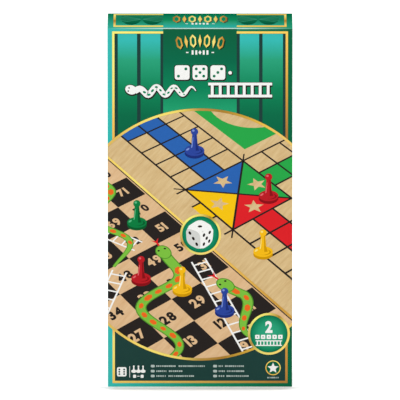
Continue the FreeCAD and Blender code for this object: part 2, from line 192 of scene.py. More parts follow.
def makeEdgeWear():         # 0 to 1 towards the edges of a box, broken up by noise: worn paper edges and a painted highlight along them
    inputs = {"Middle": "Vector", "Half": "Vector", "Width": 0.0006}
    tree, given, result = newTree("ShaderNodeTree", "edgeWearAndHighlight", inputs, {"Mask": "Float"})
    place = objectPlace(tree)
    size = vectorCalc(tree, "ABSOLUTE", {0: vectorCalc(tree, "SUBTRACT", {0: place, 1: given["Middle"]})})
    gap = addNode(tree, "ShaderNodeSeparateXYZ", {0: vectorCalc(tree, "SUBTRACT", {0: given["Half"], 1: size})})
    pairs = [calc(tree, "MAXIMUM", gap[first], gap[second]) for first, second in ((0, 1), (1, 2), (0, 2))]
    nearest = calc(tree, "MINIMUM", calc(tree, "MINIMUM", pairs[0], pairs[1]), pairs[2])
    share = calc(tree, "DIVIDE", nearest, given["Width"])
    rough = calc(tree, "MULTIPLY_ADD", noise(tree, place, 260.0, 4.0), 0.9, share)
    feed(tree, result, {"Mask": spread(tree, rough, 1.25, 0.35)})
    return tree


groups = {"paper": makePaperGrain(), "wood": makeWoodGrain(), "wearAndHighlightEdges": makeEdgeWear()}


def useGroup(tree, name, inputs):
    return addNode(tree, "ShaderNodeGroup", inputs, node_tree=groups[name])


def newMaterial(name):
    material = bpy.data.materials.new(name)
    material.use_nodes = True
    return material, material.node_tree, material.node_tree.nodes["Principled BSDF"].inputs


# pale edges of the printed shells: part real wear of the paper, part a painted highlight where the edges catch the
# light
edgeWearAndHighlight = {"width": 0.0005, "share": 0.55, "colour": "#BFE8DC"}


def paperMaterial(name, colour, gloss=0.42, mottle=0.05, relief=0.25, fibres=2600.0, shine=0.015, box=None):
    material, tree, shader = newMaterial(name)
    tone = colour(tree) if callable(colour) else srgb(colour)
    inputs = {"Colour": tone, "Gloss": gloss, "Mottle": mottle, "Fibre Scale": fibres}
    grain = useGroup(tree, "paper", inputs)
    tone = grain["Colour"]
    if box:                 # its middle and half its size, for the pale edges: worn paper and a painted highlight
        middle, half = ([part * mm for part in row] for row in box)
        # mask of the pale edges: worn paper and painted highlight
        wearAndHighlightMask = useGroup(tree, "wearAndHighlightEdges", {"Middle": middle, "Half": half, "Width": edgeWearAndHighlight["width"]})["Mask"]
        share = calc(tree, "MULTIPLY", wearAndHighlightMask, edgeWearAndHighlight["share"])
        tone = blendColours(tree, share, tone, srgb(edgeWearAndHighlight["colour"]))
    finish = {
        "Base Color": tone,
        "Roughness": grain["Roughness"],
        "Normal": bump(tree, grain["Height"], relief, 0.00002),
        "Specular IOR Level": shine,
    }
    feed(tree, shader, finish)
    return material


def plasticMaterial(name, colour, roughness, shine=0.5, depth=0.0, relief=0.02):
    material, tree, shader = newMaterial(name)
    place = objectPlace(tree)
    swing = calc(tree, "MULTIPLY", calc(tree, "SUBTRACT", noise(tree, place, 420.0, 3.0), 0.5), 0.06)
    tone = {0: srgb(colour)[:3], "Scale": calc(tree, "ADD", 1.0, swing)}
    finish = {
        "Base Color": vectorCalc(tree, "SCALE", tone),
        "Roughness": calc(tree, "ADD", roughness, swing),
        "Normal": bump(tree, noise(tree, place, 3800.0), relief, 0.0001),
        "Specular IOR Level": shine,
    }
    feed(tree, shader, finish)
    if depth:
        feed(tree, shader, {"Subsurface Weight": depth, "Subsurface Radius": (0.002, 0.002, 0.002)})
    return material


def rampColour(direction, low, high, *stops):
    return lambda tree: ramp(tree, along(tree, direction, low, high), stops)


def goldColour(tree):       # gilt ink: pale and deep bands that run down to the right
    turn = vectorCalc(tree, "DOT_PRODUCT", {0: objectPlace(tree), 1: (17.0, 9.0, 13.0)}, "Value")
    stops = [(0, "#FFE873"), (0.3, "#FAC95A"), (0.55, "#CF9A3A"), (0.78, "#F3BF4C"), (1, "#FFE873")]
    return ramp(tree, calc(tree, "FRACT", turn), stops)


postRuns = {                # colour down the gold frame's left and right post, from the top
    "left": [
        (0, "#FFF57A"), (0.1, "#FFF080"), (0.17, "#FFE66E"), (0.22, "#FFD663"), (0.25, "#FCC858"), (0.29, "#F4BE50"),
        (0.84, "#F8C35D"), (0.86, "#FFE97A"), (0.92, "#FFE673"), (0.96, "#FFD866"), (0.98, "#F8CC62"), (1, "#F0C65E"),
    ],
    "right": [
        (0, "#FFD45C"), (0.03, "#FDC95B"), (0.13, "#E3B044"), (0.21, "#CB943A"), (0.28, "#AE762D"),
        (0.84, "#F5C463"), (0.9, "#CB9436"), (0.96, "#BE8432"), (1, "#A6772D"),
    ],
}


def frameGold(tree):        # gilt frame: blended across the rails
    fall = along(tree, (0, 0, -1), -267, 0)
    left, right = (ramp(tree, fall, stops) for stops in postRuns.values())
    return blendColours(tree, along(tree, toRight, -60, 60), left, right)


def coneGold(centreX, centreZ):     # gilt ring: two dark places, pale between them
    stops = [
        (0, "#DCC261"), (0.083, "#B78E3F"), (0.167, "#E9DF73"), (0.3, "#FFDE72"), (0.5, "#FFE171"),
        (0.583, "#F8E97B"), (0.667, "#AE8420"), (0.75, "#F1DA6A"), (0.86, "#FFF97B"), (1, "#DCC261"),
    ]

    def colour(tree):
        place = addNode(tree, "ShaderNodeSeparateXYZ", {0: objectPlace(tree)})
        rise, run = calc(tree, "SUBTRACT", place[2], centreZ * mm), calc(tree, "SUBTRACT", place[0], centreX * mm)
        share = calc(tree, "DIVIDE", calc(tree, "ARCTAN2", rise, run), 2 * math.pi)
        return ramp(tree, calc(tree, "ADD", share, 0.5), stops)

    return colour


def roundColour(centre, reach, *stops):     # rings of colour about a point
    def colour(tree):
        middle = [part * mm for part in centre]
        gap = vectorCalc(tree, "DISTANCE", {0: objectPlace(tree), 1: middle}, "Value")
        return ramp(tree, calc(tree, "DIVIDE", gap, reach * mm), stops)

    return colour


def woodColour(pale, dark, grain):
    turn, stretch = grain
    inputs = {"Pale": srgb(pale), "Dark": srgb(dark), "Turn": turn, "Stretch": stretch}
    return lambda tree: useGroup(tree, "wood", inputs)["Colour"]


frontGrain = ((0, math.radians(47), 0), (45, 300, 420))     # turn and stretch of the streaks
flatGrain = ((0, 0, 0), (420, 300, 40))
pageTones, squareTones = ("#E6CB98", "#D2B07A"), ("#EAC79B", "#DDB384")
gilt, dull = {"gloss": 0.34, "shine": 0.2}, {"shine": 0.0}
drawnInks = {               # how the colour runs, and the finish where it isn't plain
    "gold": (goldColour, gilt),
    "frameGold": (frameGold, gilt),
    "rimGold": (rampColour(
        toRight, -67.5, 67.5, (0.05, "#E6BF5A"), (0.15, "#FCDC69"), (0.26, "#FFE872"), (0.38, "#F8DE68"),
        (0.5, "#BD9340"), (0.62, "#AB7C24"), (0.74, "#CDA132"), (0.85, "#F1C047"), (0.95, "#F3CB6A"),
    ), gilt),
    "roundelGold": (coneGold(0.4, 115.0), gilt),
    "badgeGold": (coneGold(50.3, 40.1), gilt),
    "crownGold": (rampColour(
        toRight, -18, 18, (0, "#AE7A2E"), (0.17, "#ECBC55"), (0.4, "#FFF08A"), (0.57, "#F6CE62"),
        (0.75, "#FFEE84"), (0.9, "#E2AC4A"), (1, "#A87830"),
    ), dull),
    "topGold": (rampColour(
        toRight, -64, 64, (0, "#FFE97A"), (0.6, "#FFE872"), (0.85, "#FFD663"), (1, "#FECC5D"),
    ), dull),
    "postGold": (rampColour(
        toBack, -16, 18, (0, "#FFE27A"), (0.42, "#B97E25"), (0.6, "#E8B24A"), (1, "#FFF58A"),
    ), dull),
    "pageWood": (woodColour(*pageTones, frontGrain), {}),
    "squareWood": (woodColour(*squareTones, frontGrain), {}),
    "boardWood": (woodColour(*pageTones, flatGrain), {}),
    "tileWood": (woodColour(*squareTones, flatGrain), {}),
    "stripe": (rampColour(
        toTop, 178, 267, (0, "#0D6142"), (0.3, "#0F6E4A"), (0.52, "#138759"), (0.76, "#2DA57C"),
        (0.93, "#3ABFB8"), (1, "#3ABFB8"),
    ), {}),
    "centre": (rampColour(
        toTop, 205, 270, (0, "#27A774"), (0.3, "#10855A"), (0.62, "#0E6B4B"), (1, "#12613F"),
    ), {}),
    "topField": (rampColour(
        toBack, -24, 24, (0.1, "#2FB199"), (0.3, "#269C7A"), (0.55, "#198560"), (0.9, "#1D8560"),
    ), dull),
    "topCentre": (rampColour(
        toBack, -24, 24, (0, "#3ABBAA"), (0.15, "#2AB19F"), (0.27, "#31A888"), (0.4, "#279E74"),
        (0.52, "#108E5F"), (0.65, "#12875B"), (0.77, "#0B7F58"), (0.9, "#016F48"),
    ), dull),
    "lobe": (rampColour(
        toBack, -16, 18, (0, "#03543A"), (0.2, "#056040"), (0.5, "#0F704C"), (1, "#1A7F5A"),
    ), dull),
    "ray": (rampColour(toBack, -16, 18, (0, "#3FB795"), (0.5, "#3A9A77"), (1, "#3F9474")), dull),
    "badge": (roundColour(
        (50.3, -23.7, 40.1), 14.0, (0, "#35AE87"), (0.55, "#2BA178"), (0.85, "#17885F"), (1, "#0B6E4B"),
    ), {}),
    "roundel": (roundColour(
        (0.4, -23.7, 115.0), 13.2, (0, "#1FA077"), (0.8, "#169067"), (1, "#0A7650"),
    ), {}),
}
plainInks = {
    "slate": "#22423D", "black": "#2A2523", "night": "#0A2A1C", "white": "#FBFBF8", "grey": "#D9DAD6",
    "shade": "#A9ABA8", "haze": "#B5C4BF", "red": "#E2252B", "blue": "#2E66B4", "yellow": "#FBC816",
    "green": "#2BAA4B", "leaf": "#7FC443", "moss": "#4E8F2C", "orange": "#F26B24", "pine": "#0C5E40",
    "redBase": "#BE1F27", "redDeep": "#8C141B", "redPale": "#E4666B",
    "blueBase": "#2F489F", "blueDeep": "#1F3179", "bluePale": "#7F97D6",
    "yellowBase": "#FBC01B", "yellowDeep": "#D39A0A", "yellowPale": "#FFE680",
    "greenBase": "#0F7F42", "greenDeep": "#0A5A2E", "greenPale": "#5FBE88",
}
inks = {name: paperMaterial(name + "Ink", code) for name, code in plainInks.items()}
for name, (colour, finish) in drawnInks.items():
    inks[name] = paperMaterial(name + "Ink", colour, **finish)
print("inks mixed")


# Flat shapes, in millimetres on the face that they are printed on

def moved(shapes, place, turn=0.0, scale=1.0):
    cosine, sine = math.cos(turn) * scale, math.sin(turn) * scale
    return [
        [(place[0] + x * cosine - y * sine, place[1] + x * sine + y * cosine) for x, y in shape] for shape in shapes
    ]


def bar(left, low, right, high):
    return [(left, low), (right, low), (right, high), (left, high)]


def ellipse(centre, across, up=None, steps=40, turn=0.0):
    up = across if up is None else up
    angles = [2 * math.pi * step / steps for step in range(steps)]
    return moved([[(across * math.cos(angle), up * math.sin(angle)) for angle in angles]], centre, turn)[0]


def quads(edges):                           # between each pair of points and the next pair
    return [[one[0], one[1], two[1], two[0]] for one, two in zip(edges, edges[1:])]


def ring(centre, inner, outer, steps=72, widen=0.0):
    edges = list(zip(*(ellipse(centre, reach + widen, reach, steps=steps) for reach in (inner, outer))))
    return quads(edges + edges[:1])


def softened(corners, reach, steps=4):      # each corner becomes a short curve
    points = []
    for number, corner in enumerate(corners):
        here = Vector(corner)
        before, after = Vector(corners[number - 1]), Vector(corners[(number + 1) % len(corners)])
        start, end = (here + (other - here).normalized() * reach for other in (before, after))
        for step in range(steps + 1):
            share = step / steps
            points.append(tuple(start * (1 - share) ** 2 + here * 2 * share * (1 - share) + end * share ** 2))
    return points


def star(centre, reach, waist, count):
    angles = [math.pi / 2 + math.pi * number / count for number in range(2 * count)]
    reaches = [reach, waist] * count
    return moved([[(r * math.cos(angle), r * math.sin(angle)) for r, angle in zip(reaches, angles)]], centre)[0]


def sideStep(path, number):
    before, after = path[max(number - 1, 0)], path[min(number + 1, len(path) - 1)]
    heading = (after - before).normalized()
    return Vector((-heading.y, heading.x))


def ribbon(path, wide, thin, power, shift=(0, 0)):      # it grows thinner along its path
    path, edges = [spot + Vector(shift) for spot in path], []
    for number, spot in enumerate(path):
        width = wide * (1 - thin * (number / (len(path) - 1)) ** power)
        reach = sideStep(path, number) * width / 2
        edges.append((tuple(spot + reach), tuple(spot - reach)))
    return quads(edges)


def frameBars(left, low, right, high, wide):
    return [
        bar(left, low, left + wide, high),
        bar(right - wide, low, right, high),
        bar(left + wide, low, right - wide, low + wide),
        bar(left + wide, high - wide, right - wide, high),
    ]


def stripeBars(left, right, low, high, count):
    pitch = (right - left) / count
    return [bar(left + (n + 0.12) * pitch, low, left + (n + 0.88) * pitch, high) for n in range(count)]


def lozenge(across, up):
    return [(0, up), (across, 0), (0, -up), (-across, 0)]


def hexagon(across, up, shoulder):
    return [(0, up), (across, shoulder), (across, -shoulder), (0, -up), (-across, -shoulder), (-across, shoulder)]


# A print holds its inks, each with flat shapes in thin layers, bent by its warp and cut to its clips

def newPrint(origin, right, up, step):
    axes = {"origin": Vector(origin), "right": Vector(right), "up": Vector(up), "step": step}
    return {**axes, "shapes": {}, "warp": None, "clips": ()}


def lookThrough(sheet, warp=None, clips=()):    # for what is stamped next
    sheet["warp"], sheet["clips"] = warp, tuple(clips)


def stamp(sheet, ink, layer, shapes):
    warp, held = sheet["warp"], sheet["shapes"].setdefault(ink, [])
    for shape in shapes:
        points = [warp(*point) if warp else tuple(point) for point in shape]
        held.append((points, layer, sheet["clips"]))


def stampAll(sheet, rows):                  # rows of ink, layer and shapes
    for row in rows:
        stamp(sheet, *row)


def roundClip(centre, across, up, steps=120):
    clips = []
    for step in range(steps):
        angle = 2 * math.pi * (step + 0.5) / steps
        x, y = math.cos(angle), math.sin(angle)
        spot = (centre[0] + across * x, centre[1] + up * y)
        clips.append((spot, tuple(Vector((x / across, y / up)).normalized())))
    return tuple(clips)


def barClip(left, low, right, high):
    return (((left, low), (-1, 0)), ((right, high), (1, 0)), ((left, low), (0, -1)), ((right, high), (0, 1)))


def polygonClip(points):
    clips = []
    for here, there in zip(points, points[1:] + points[:1]):
        across, up = there[0] - here[0], there[1] - here[1]
        if abs(across) + abs(up) > 1e-6:
            clips.append((here, tuple(Vector((up, -across)).normalized())))
    return tuple(clips)


def outsideBy(point, clip):
    (px, py), (nx, ny) = clip
    return (point[0] - px) * nx + (point[1] - py) * ny


def cutShapes(shapes, step):                # flat bmeshes, one for each set of clips that is crossed
    whole, cut = bmesh.new(), {}
    for points, layer, clips in shapes:
        crossing = []
        for clip in clips:
            reaches = [outsideBy(point, clip) for point in points]
            if min(reaches) >= 0:
                break
            if max(reaches) > 0:
                crossing.append(clip)
        else:
            target = cut.setdefault(tuple(crossing), bmesh.new()) if crossing else whole
            target.faces.new([target.verts.new((x, y, layer * step)) for x, y in points])
    for clips, part in cut.items():
        bmesh.ops.triangulate(part, faces=part.faces[:])
        for (px, py), (nx, ny) in clips:
            everything = part.verts[:] + part.edges[:] + part.faces[:]
            plane = {"plane_co": (px, py, 0), "plane_no": (nx, ny, 0)}
            bmesh.ops.bisect_plane(part, geom=everything, clear_outer=True, **plane)
    return [whole, *cut.values()]


def newPiece(name, source, materials, body, slotName):
    mesh = bpy.data.meshes.new(name)
    source.to_mesh(mesh)
    source.free()
    for material in materials:
        mesh.materials.append(material)
    piece = bpy.data.objects.new(name, mesh)
    scene.collection.objects.link(piece)
    if body is not None:
        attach(piece, body)
    return piece


def smoothByAngle(source, degrees=35):
    for face in source.faces:
        face.smooth = True
    for edge in source.edges:
        if len(edge.link_faces) == 2:
            edge.smooth = edge.calc_face_angle(0) < math.radians(degrees)


def finishPrint(name, sheet, body, slotName):
    out = sheet["right"].cross(sheet["up"])
    turn = Matrix((sheet["right"], sheet["up"], out)).transposed().to_4x4()
    place = Matrix.Translation(sheet["origin"] * mm) @ turn @ Matrix.Scale(mm, 4)
    total = bmesh.new()
    for number, shapes in enumerate(sheet["shapes"].values()):
        for part in cutShapes(shapes, sheet["step"]):
            bmesh.ops.dissolve_degenerate(part, dist=1e-5, edges=part.edges[:])
            part.normal_update()
            bmesh.ops.reverse_faces(part, faces=[face for face in part.faces if face.normal.z < 0])
            for face in part.faces:
                face.material_index = number
            flat = bpy.data.meshes.new("flat")
            part.to_mesh(flat)
            total.from_mesh(flat)
            part.free()
            bpy.data.meshes.remove(flat)
    bmesh.ops.transform(total, matrix=place, verts=total.verts[:])
    newPiece(name, total, [inks[ink] for ink in sheet["shapes"]], body, slotName)


# What repeats is grown by node trees from named inputs

def geo(tree, kind, inputs=None):
    return addNode(tree, "GeometryNode" + kind, inputs)[0]


def vector(tree, x=0.0, y=0.0, z=0.0):
    return addNode(tree, "ShaderNodeCombineXYZ", {0: x, 1: y, 2: z})[0]


def flatBar(tree, across, length):
    return geo(tree, "MeshGrid", {"Size X": across, "Size Y": length, "Vertices X": 2, "Vertices Y": 2})


def chance(tree, low, high, seed):
    inputs = {"Min": low, "Max": high, "Seed": seed}
    return addNode(tree, "FunctionNodeRandomValue", inputs, data_type="FLOAT")["Value"]


def newBuilder(name, inputs):
    inputs = {"Geometry": "Geometry", **inputs, "Material": "Material"}
    return newTree("GeometryNodeTree", name, inputs, {"Geometry": "Geometry"})


def finishBuilder(tree, parts, given, result, smooth=False):
    joined = tree.nodes.new("GeometryNodeJoinGeometry")
    for part in parts:
        tree.links.new(part, joined.inputs[0])
    whole = geo(tree, "RealizeInstances", {"Geometry": joined.outputs[0]})
    if smooth:
        whole = geo(tree, "SetShadeSmooth", {"Geometry": whole})
    feed(tree, result, {0: geo(tree, "SetMaterial", {"Geometry": whole, "Material": given["Material"]})})
    return tree


def makeLadderBuilder():    # rails and rungs of a ladder that rises from the origin along Y
    tree, given, result = newBuilder("ladder", {"Length": 50.0, "Width": 9.0, "Line": 1.0, "Rungs": 6})
    pitch = calc(tree, "DIVIDE", given["Length"], given["Rungs"])
    first = vector(tree, 0.0, calc(tree, "MULTIPLY", pitch, 0.5))
    row = {"Count": given["Rungs"], "Start Location": first, "Offset": vector(tree, 0.0, pitch)}
    rung = flatBar(tree, calc(tree, "SUBTRACT", given["Width"], given["Line"]), given["Line"])
    parts = [geo(tree, "InstanceOnPoints", {"Points": geo(tree, "MeshLine", row), "Instance": rung})]
    rail, middle = flatBar(tree, given["Line"], given["Length"]), calc(tree, "MULTIPLY", given["Length"], 0.5)
    for side in (-0.5, 0.5):
        place = vector(tree, calc(tree, "MULTIPLY", given["Width"], side), middle)
        parts.append(geo(tree, "Transform", {"Geometry": rail, "Translation": place}))
    return finishBuilder(tree, parts, given, result)


def makeSpotBuilder():      # pointed spots that follow a path, smaller towards its end
    tree, given, result = newBuilder("snakeSpots", {"Spots": 8, "Size": 3.0, "Slenderness": 0.6, "Seed": 4})
    curve = geo(tree, "MeshToCurve", {"Mesh": given["Geometry"]})
    trimmed = geo(tree, "TrimCurve", {"Curve": curve, "Start": 0.08, "End": 0.9})
    spaced = geo(tree, "ResampleCurve", {"Curve": trimmed, "Count": given["Spots"]})
    heading = {"Vector": geo(tree, "InputTangent")}
    turned = addNode(tree, "FunctionNodeAlignRotationToVector", heading, axis="X", pivot_axis="Z")[0]
    share = addNode(tree, "GeometryNodeSplineParameter")["Factor"]
    taper = calc(tree, "SUBTRACT", 1.1, calc(tree, "MULTIPLY", share, 0.45))
    size = calc(tree, "MULTIPLY", taper, given["Size"])
    size = calc(tree, "MULTIPLY", size, chance(tree, 0.85, 1.15, given["Seed"]))
    size = vector(tree, size, calc(tree, "MULTIPLY", size, given["Slenderness"]), 1.0)
    spot = addNode(tree, "GeometryNodeMeshCircle", {"Vertices": 6, "Radius": 1.0}, fill_type="NGON")[0]
    spots = {"Points": spaced, "Instance": spot, "Rotation": turned, "Scale": size}
    return finishBuilder(tree, [geo(tree, "InstanceOnPoints", spots)], given, result)


def makeDashBuilder():      # a line of small dashes of uneven length
    tree, given, result = newBuilder("dashes", {"Length": 30.0, "Height": 1.0, "Dashes": 8, "Seed": 1})
    pitch = calc(tree, "DIVIDE", given["Length"], given["Dashes"])
    first = vector(tree, calc(tree, "MULTIPLY", pitch, 0.5))
    row = {"Count": given["Dashes"], "Start Location": first, "Offset": vector(tree, pitch)}
    size = vector(tree, chance(tree, 0.45, 0.92, given["Seed"]), 1.0, 1.0)
    dash = flatBar(tree, pitch, given["Height"])
    dashes = {"Points": geo(tree, "MeshLine", row), "Instance": dash, "Scale": size}
    return finishBuilder(tree, [geo(tree, "InstanceOnPoints", dashes)], given, result)


def makeRibBuilder():       # rows of low ribs with round ends, standing on an upright face
    sizes = {"Pitch X": 0.007, "Pitch Z": 0.06, "Rib Length": 0.05, "Rib Width": 0.003, "Rib Height": 0.001}
    tree, given, result = newBuilder("trayRibs", {"Columns": 3, "Rows": 4, **sizes})
    across = calc(tree, "MULTIPLY", calc(tree, "SUBTRACT", given["Columns"], 1.0), given["Pitch X"])
    rise = calc(tree, "MULTIPLY", calc(tree, "SUBTRACT", given["Rows"], 1.0), given["Pitch Z"])
    rows = {"Size X": across, "Size Y": rise, "Vertices X": given["Columns"], "Vertices Y": given["Rows"]}
    upright = geo(tree, "Transform", {"Geometry": geo(tree, "MeshGrid", rows), "Rotation": (math.pi / 2, 0, 0)})
    radius = calc(tree, "MULTIPLY", given["Rib Width"], 0.5)
    ball = geo(tree, "MeshUVSphere", {"Segments": 24, "Rings": 12, "Radius": 1.0})
    place = addNode(tree, "ShaderNodeSeparateXYZ", {0: geo(tree, "InputPosition")})
    reach = calc(tree, "SUBTRACT", calc(tree, "MULTIPLY", given["Rib Length"], 0.5), radius)
    shift = calc(tree, "MULTIPLY", calc(tree, "SIGN", place["Z"]), reach)
    drawn = vector(
        tree,
        calc(tree, "MULTIPLY", place["X"], radius),
        calc(tree, "MULTIPLY", place["Y"], given["Rib Height"]),
        calc(tree, "MULTIPLY_ADD", place["Z"], radius, shift),
    )
    rod = geo(tree, "SetPosition", {"Geometry": ball, "Position": drawn})
    ribs = geo(tree, "InstanceOnPoints", {"Points": upright, "Instance": rod})
    return finishBuilder(tree, [ribs], given, result, smooth=True)


builders = {
    "ladder": makeLadderBuilder(), "spots": makeSpotBuilder(), "dashes": makeDashBuilder(), "ribs": makeRibBuilder(),
}


def plainMesh(piece):
    graph = bpy.context.evaluated_depsgraph_get()
    return bpy.data.meshes.new_from_object(piece.evaluated_get(graph), depsgraph=graph)


def grow(builder, values, points=(), edges=()):
    source = bpy.data.meshes.new("seedMesh")
    source.from_pydata([tuple(point) for point in points], edges, [])
    holder = bpy.data.objects.new("seed", source)
    scene.collection.objects.link(holder)
    modifier = holder.modifiers.new("grow", "NODES")
    modifier.node_group = builders[builder]
    for item in builders[builder].interface.items_tree:
        if item.in_out == "INPUT" and item.name in values:
            modifier[item.identifier] = values[item.name]
    mesh = plainMesh(holder)
    bpy.data.objects.remove(holder)
    bpy.data.meshes.remove(source)
    return mesh


def grownShapes(*source):
    mesh = grow(*source)
    shapes = [[tuple(mesh.vertices[corner].co[:2]) for corner in polygon.vertices] for polygon in mesh.polygons]
    bpy.data.meshes.remove(mesh)
    return shapes


def ladderShapes(start, end, width, line, rungs, ink):
    reach = Vector(end) - Vector(start)
    values = {"Length": reach.length, "Width": width, "Line": line, "Rungs": rungs, "Material": inks[ink]}
    return moved(grownShapes("ladder", values), start, math.atan2(reach.y, reach.x) - math.pi / 2)


def spotShapes(path, spots, size, slenderness, seed, ink):
    values = {"Spots": spots, "Size": size, "Slenderness": slenderness, "Seed": seed, "Material": inks[ink]}
    edges = [(number, number + 1) for number in range(len(path) - 1)]
    return grownShapes("spots", values, [(spot.x, spot.y, 0) for spot in path], edges)


def dashShapes(start, length, height, dashes, seed, ink):
    values = {"Length": length, "Height": height, "Dashes": dashes, "Seed": seed, "Material": inks[ink]}
    return moved(grownShapes("dashes", values), start)


def textShapes(ink, left, seeds, high, pitch, lengths, height, dashes):     # every fourth line is short
    shapes = []
    for row, seed in enumerate(seeds):
        shapes += dashShapes((left, high - row * pitch), lengths[row % 4 == 3], height, dashes, seed, ink)
    return shapes


print("builders ready")


# Numerals, traced once, centred and one unit high

numeral = {"weight": 0.046, "narrow": 0.88, "space": 0.1, "curveSteps": 3}


def traceNumeral(figure):
    curve = bpy.data.curves.new("numeral", "FONT")
    curve.body, curve.resolution_u, curve.offset = figure, numeral["curveSteps"], numeral["weight"]
    holder = bpy.data.objects.new("numeral", curve)
    mesh = bpy.data.meshes.new_from_object(holder)
    across, up = ([spot.co[axis] for spot in mesh.vertices] for axis in (0, 1))
    left, low, height = min(across), min(up), max(up) - min(up)
    points = [(numeral["narrow"] * (x - left) / height, (y - low) / height - 0.5) for x, y in zip(across, up)]
    shapes = [[points[corner] for corner in polygon.vertices] for polygon in mesh.polygons]
    bpy.data.objects.remove(holder)
    bpy.data.meshes.remove(mesh)
    bpy.data.curves.remove(curve)
    return shapes, numeral["narrow"] * (max(across) - left) / height


numerals = {figure: traceNumeral(figure) for figure in "0123456789"}


def numberShapes(number, centre, height):
    figures = [numerals[figure] for figure in str(number)]
    start = -(sum(width for _, width in figures) + numeral["space"] * (len(figures) - 1)) / 2
    shapes = []
    for polygons, width in figures:
        shapes += moved(polygons, (start, 0))
        start += width + numeral["space"]
    return moved(shapes, centre, 0, height)


# Games on the boards, drawn on a square of 252 mm with its corner at the origin

boardSize = 252
snake = {
    "width": 6.4,
    "outline": 1.4,
    "spotPitch": 9,
    "slenderness": 0.62,
    "tongue": [(0.7, -0.1), (1.6, -0.1), (2.2, -0.45), (1.85, 0), (2.2, 0.45), (1.6, 0.1), (0.7, 0.1)],
}
laddersRules = {
    "square": 23.5,
    "edge": 8.5,
    "figure": 8.0,
    "width": 9.5,
    "line": 1.15,
    "rungPitch": 7,
    "ladders": [        # squares of the foot and the top
        ((3, 0), (1, 2)),
        ((8, 0), (9, 3)),
        ((0, 4), (1, 6)),
        ((5, 3), (7, 4)),
        ((8, 5), (7, 7)),
        ((3, 7), (5, 9)),
    ],
    "snakes": [         # head, tail, waves, reach of a wave in squares
        ((9.2, 8.6), (7.7, 4.9), 1.6, 0.42),
        ((2.6, 9.4), (1.9, 6.3), 1.4, 0.4),
        ((6.4, 6.7), (4.2, 2.6), 2.0, 0.42),
        ((3.3, 5.6), (0.6, 1.2), 2.1, 0.45),
        ((8.9, 4.5), (5.6, 0.5), 1.9, 0.55),
        ((5.6, 9.4), (6.8, 7.0), 1.2, 0.35),
        ((9.5, 2.4), (9.0, 0.5), 0.9, 0.28),
    ],
}


def waveLine(start, end, waves, reach, steps=64):
    start, end = Vector(start), Vector(end)
    side = (end - start).orthogonal().normalized()
    path = []
    for step in range(steps + 1):
        share = step / steps
        swing = reach * math.sin(2 * math.pi * waves * share) * min(1, 0.35 + share * 3)
        path.append(start.lerp(end, share) + side * swing)
    return path


def snakeOn(sheet, path, layer, seed):
    width, count = snake["width"], round((path[0] - path[-1]).length / snake["spotPitch"])
    spots = spotShapes(path[3:-8], count, width * 0.5, snake["slenderness"], seed, "orange")
    heading = (path[0] - path[2]).normalized()
    turn, brow = math.atan2(heading.y, heading.x), path[0] + heading * width * 0.45
    eyes = [ellipse((0.4, side * 0.36), 0.13, steps=10) for side in (-1, 1)]
    stampAll(sheet, [
        ("moss", layer, ribbon(path, width + snake["outline"], 0.72, 2.2)),
        ("leaf", layer + 1, ribbon(path, width, 0.78, 2.2)),
        ("orange", layer + 2, spots),
        ("red", layer, moved([snake["tongue"]], brow, turn, width)),
        ("moss", layer + 3, [ellipse(brow, width * 1.07, width * 0.8, turn=turn)]),
        ("leaf", layer + 4, [ellipse(brow, width * 0.97, width * 0.7, turn=turn)]),
        ("black", layer + 5, moved(eyes, brow, turn, width)),
    ])


def laddersBoard(sheet, layer, wood, figures=True):
    square, edge = laddersRules["square"], laddersRules["edge"]

    def spot(column, row):
        return (edge + column * square, edge + row * square)

    spare = 90 if sheet["warp"] else 0      # wood beyond the board, where it is seen in a picture
    stamp(sheet, wood, layer, [bar(-spare, -spare, boardSize + spare, boardSize + spare)])
    low, high = edge - 1.6, boardSize - edge + 1.6
    lines = [bar(low, low, high, low + 0.8), bar(low, high - 0.8, high, high)]
    lines += [bar(low, low, low + 0.8, high), bar(high - 0.8, low, high, high)]
    stamp(sheet, "black", layer + 1, lines)
    for row in range(10):
        for column in range(10):
            dark = (row + column) % 2 == 0
            x, y = spot(column, row)
            if dark:
                stamp(sheet, "black", layer + 1, [bar(x, y, x + square, y + square)])
            if figures:
                count = row * 10 + (column + 1 if row % 2 == 0 else 10 - column)
                place = (x + square * 0.5, y + square * 0.5)
                stamp(sheet, wood if dark else "black", layer + 2, numberShapes(count, place, laddersRules["figure"]))
    for start, end in laddersRules["ladders"]:
        foot, top = spot(start[0] + 0.5, start[1] + 0.25), spot(end[0] + 0.5, end[1] + 0.75)
        rungs = round((Vector(top) - Vector(foot)).length / laddersRules["rungPitch"])
        ladder = ladderShapes(foot, top, laddersRules["width"], laddersRules["line"], rungs, "white")
        stamp(sheet, "white", layer + 3, ladder)
    for number, (head, tail, waves, reach) in enumerate(laddersRules["snakes"]):
        snakeOn(sheet, waveLine(spot(*head), spot(*tail), waves, reach * square), layer + 4, number + 3)


ludoRules = {               # sizes in cells from the middle
    "cell": 16.0,
    "line": 0.042,
    "spoke": 0.03,
    "quarters": {"green": (1, 1), "blue": (-1, 1), "yellow": (-1, -1), "red": (1, -1)},
    "arms": ["blue", "yellow", "red", "green"],
}


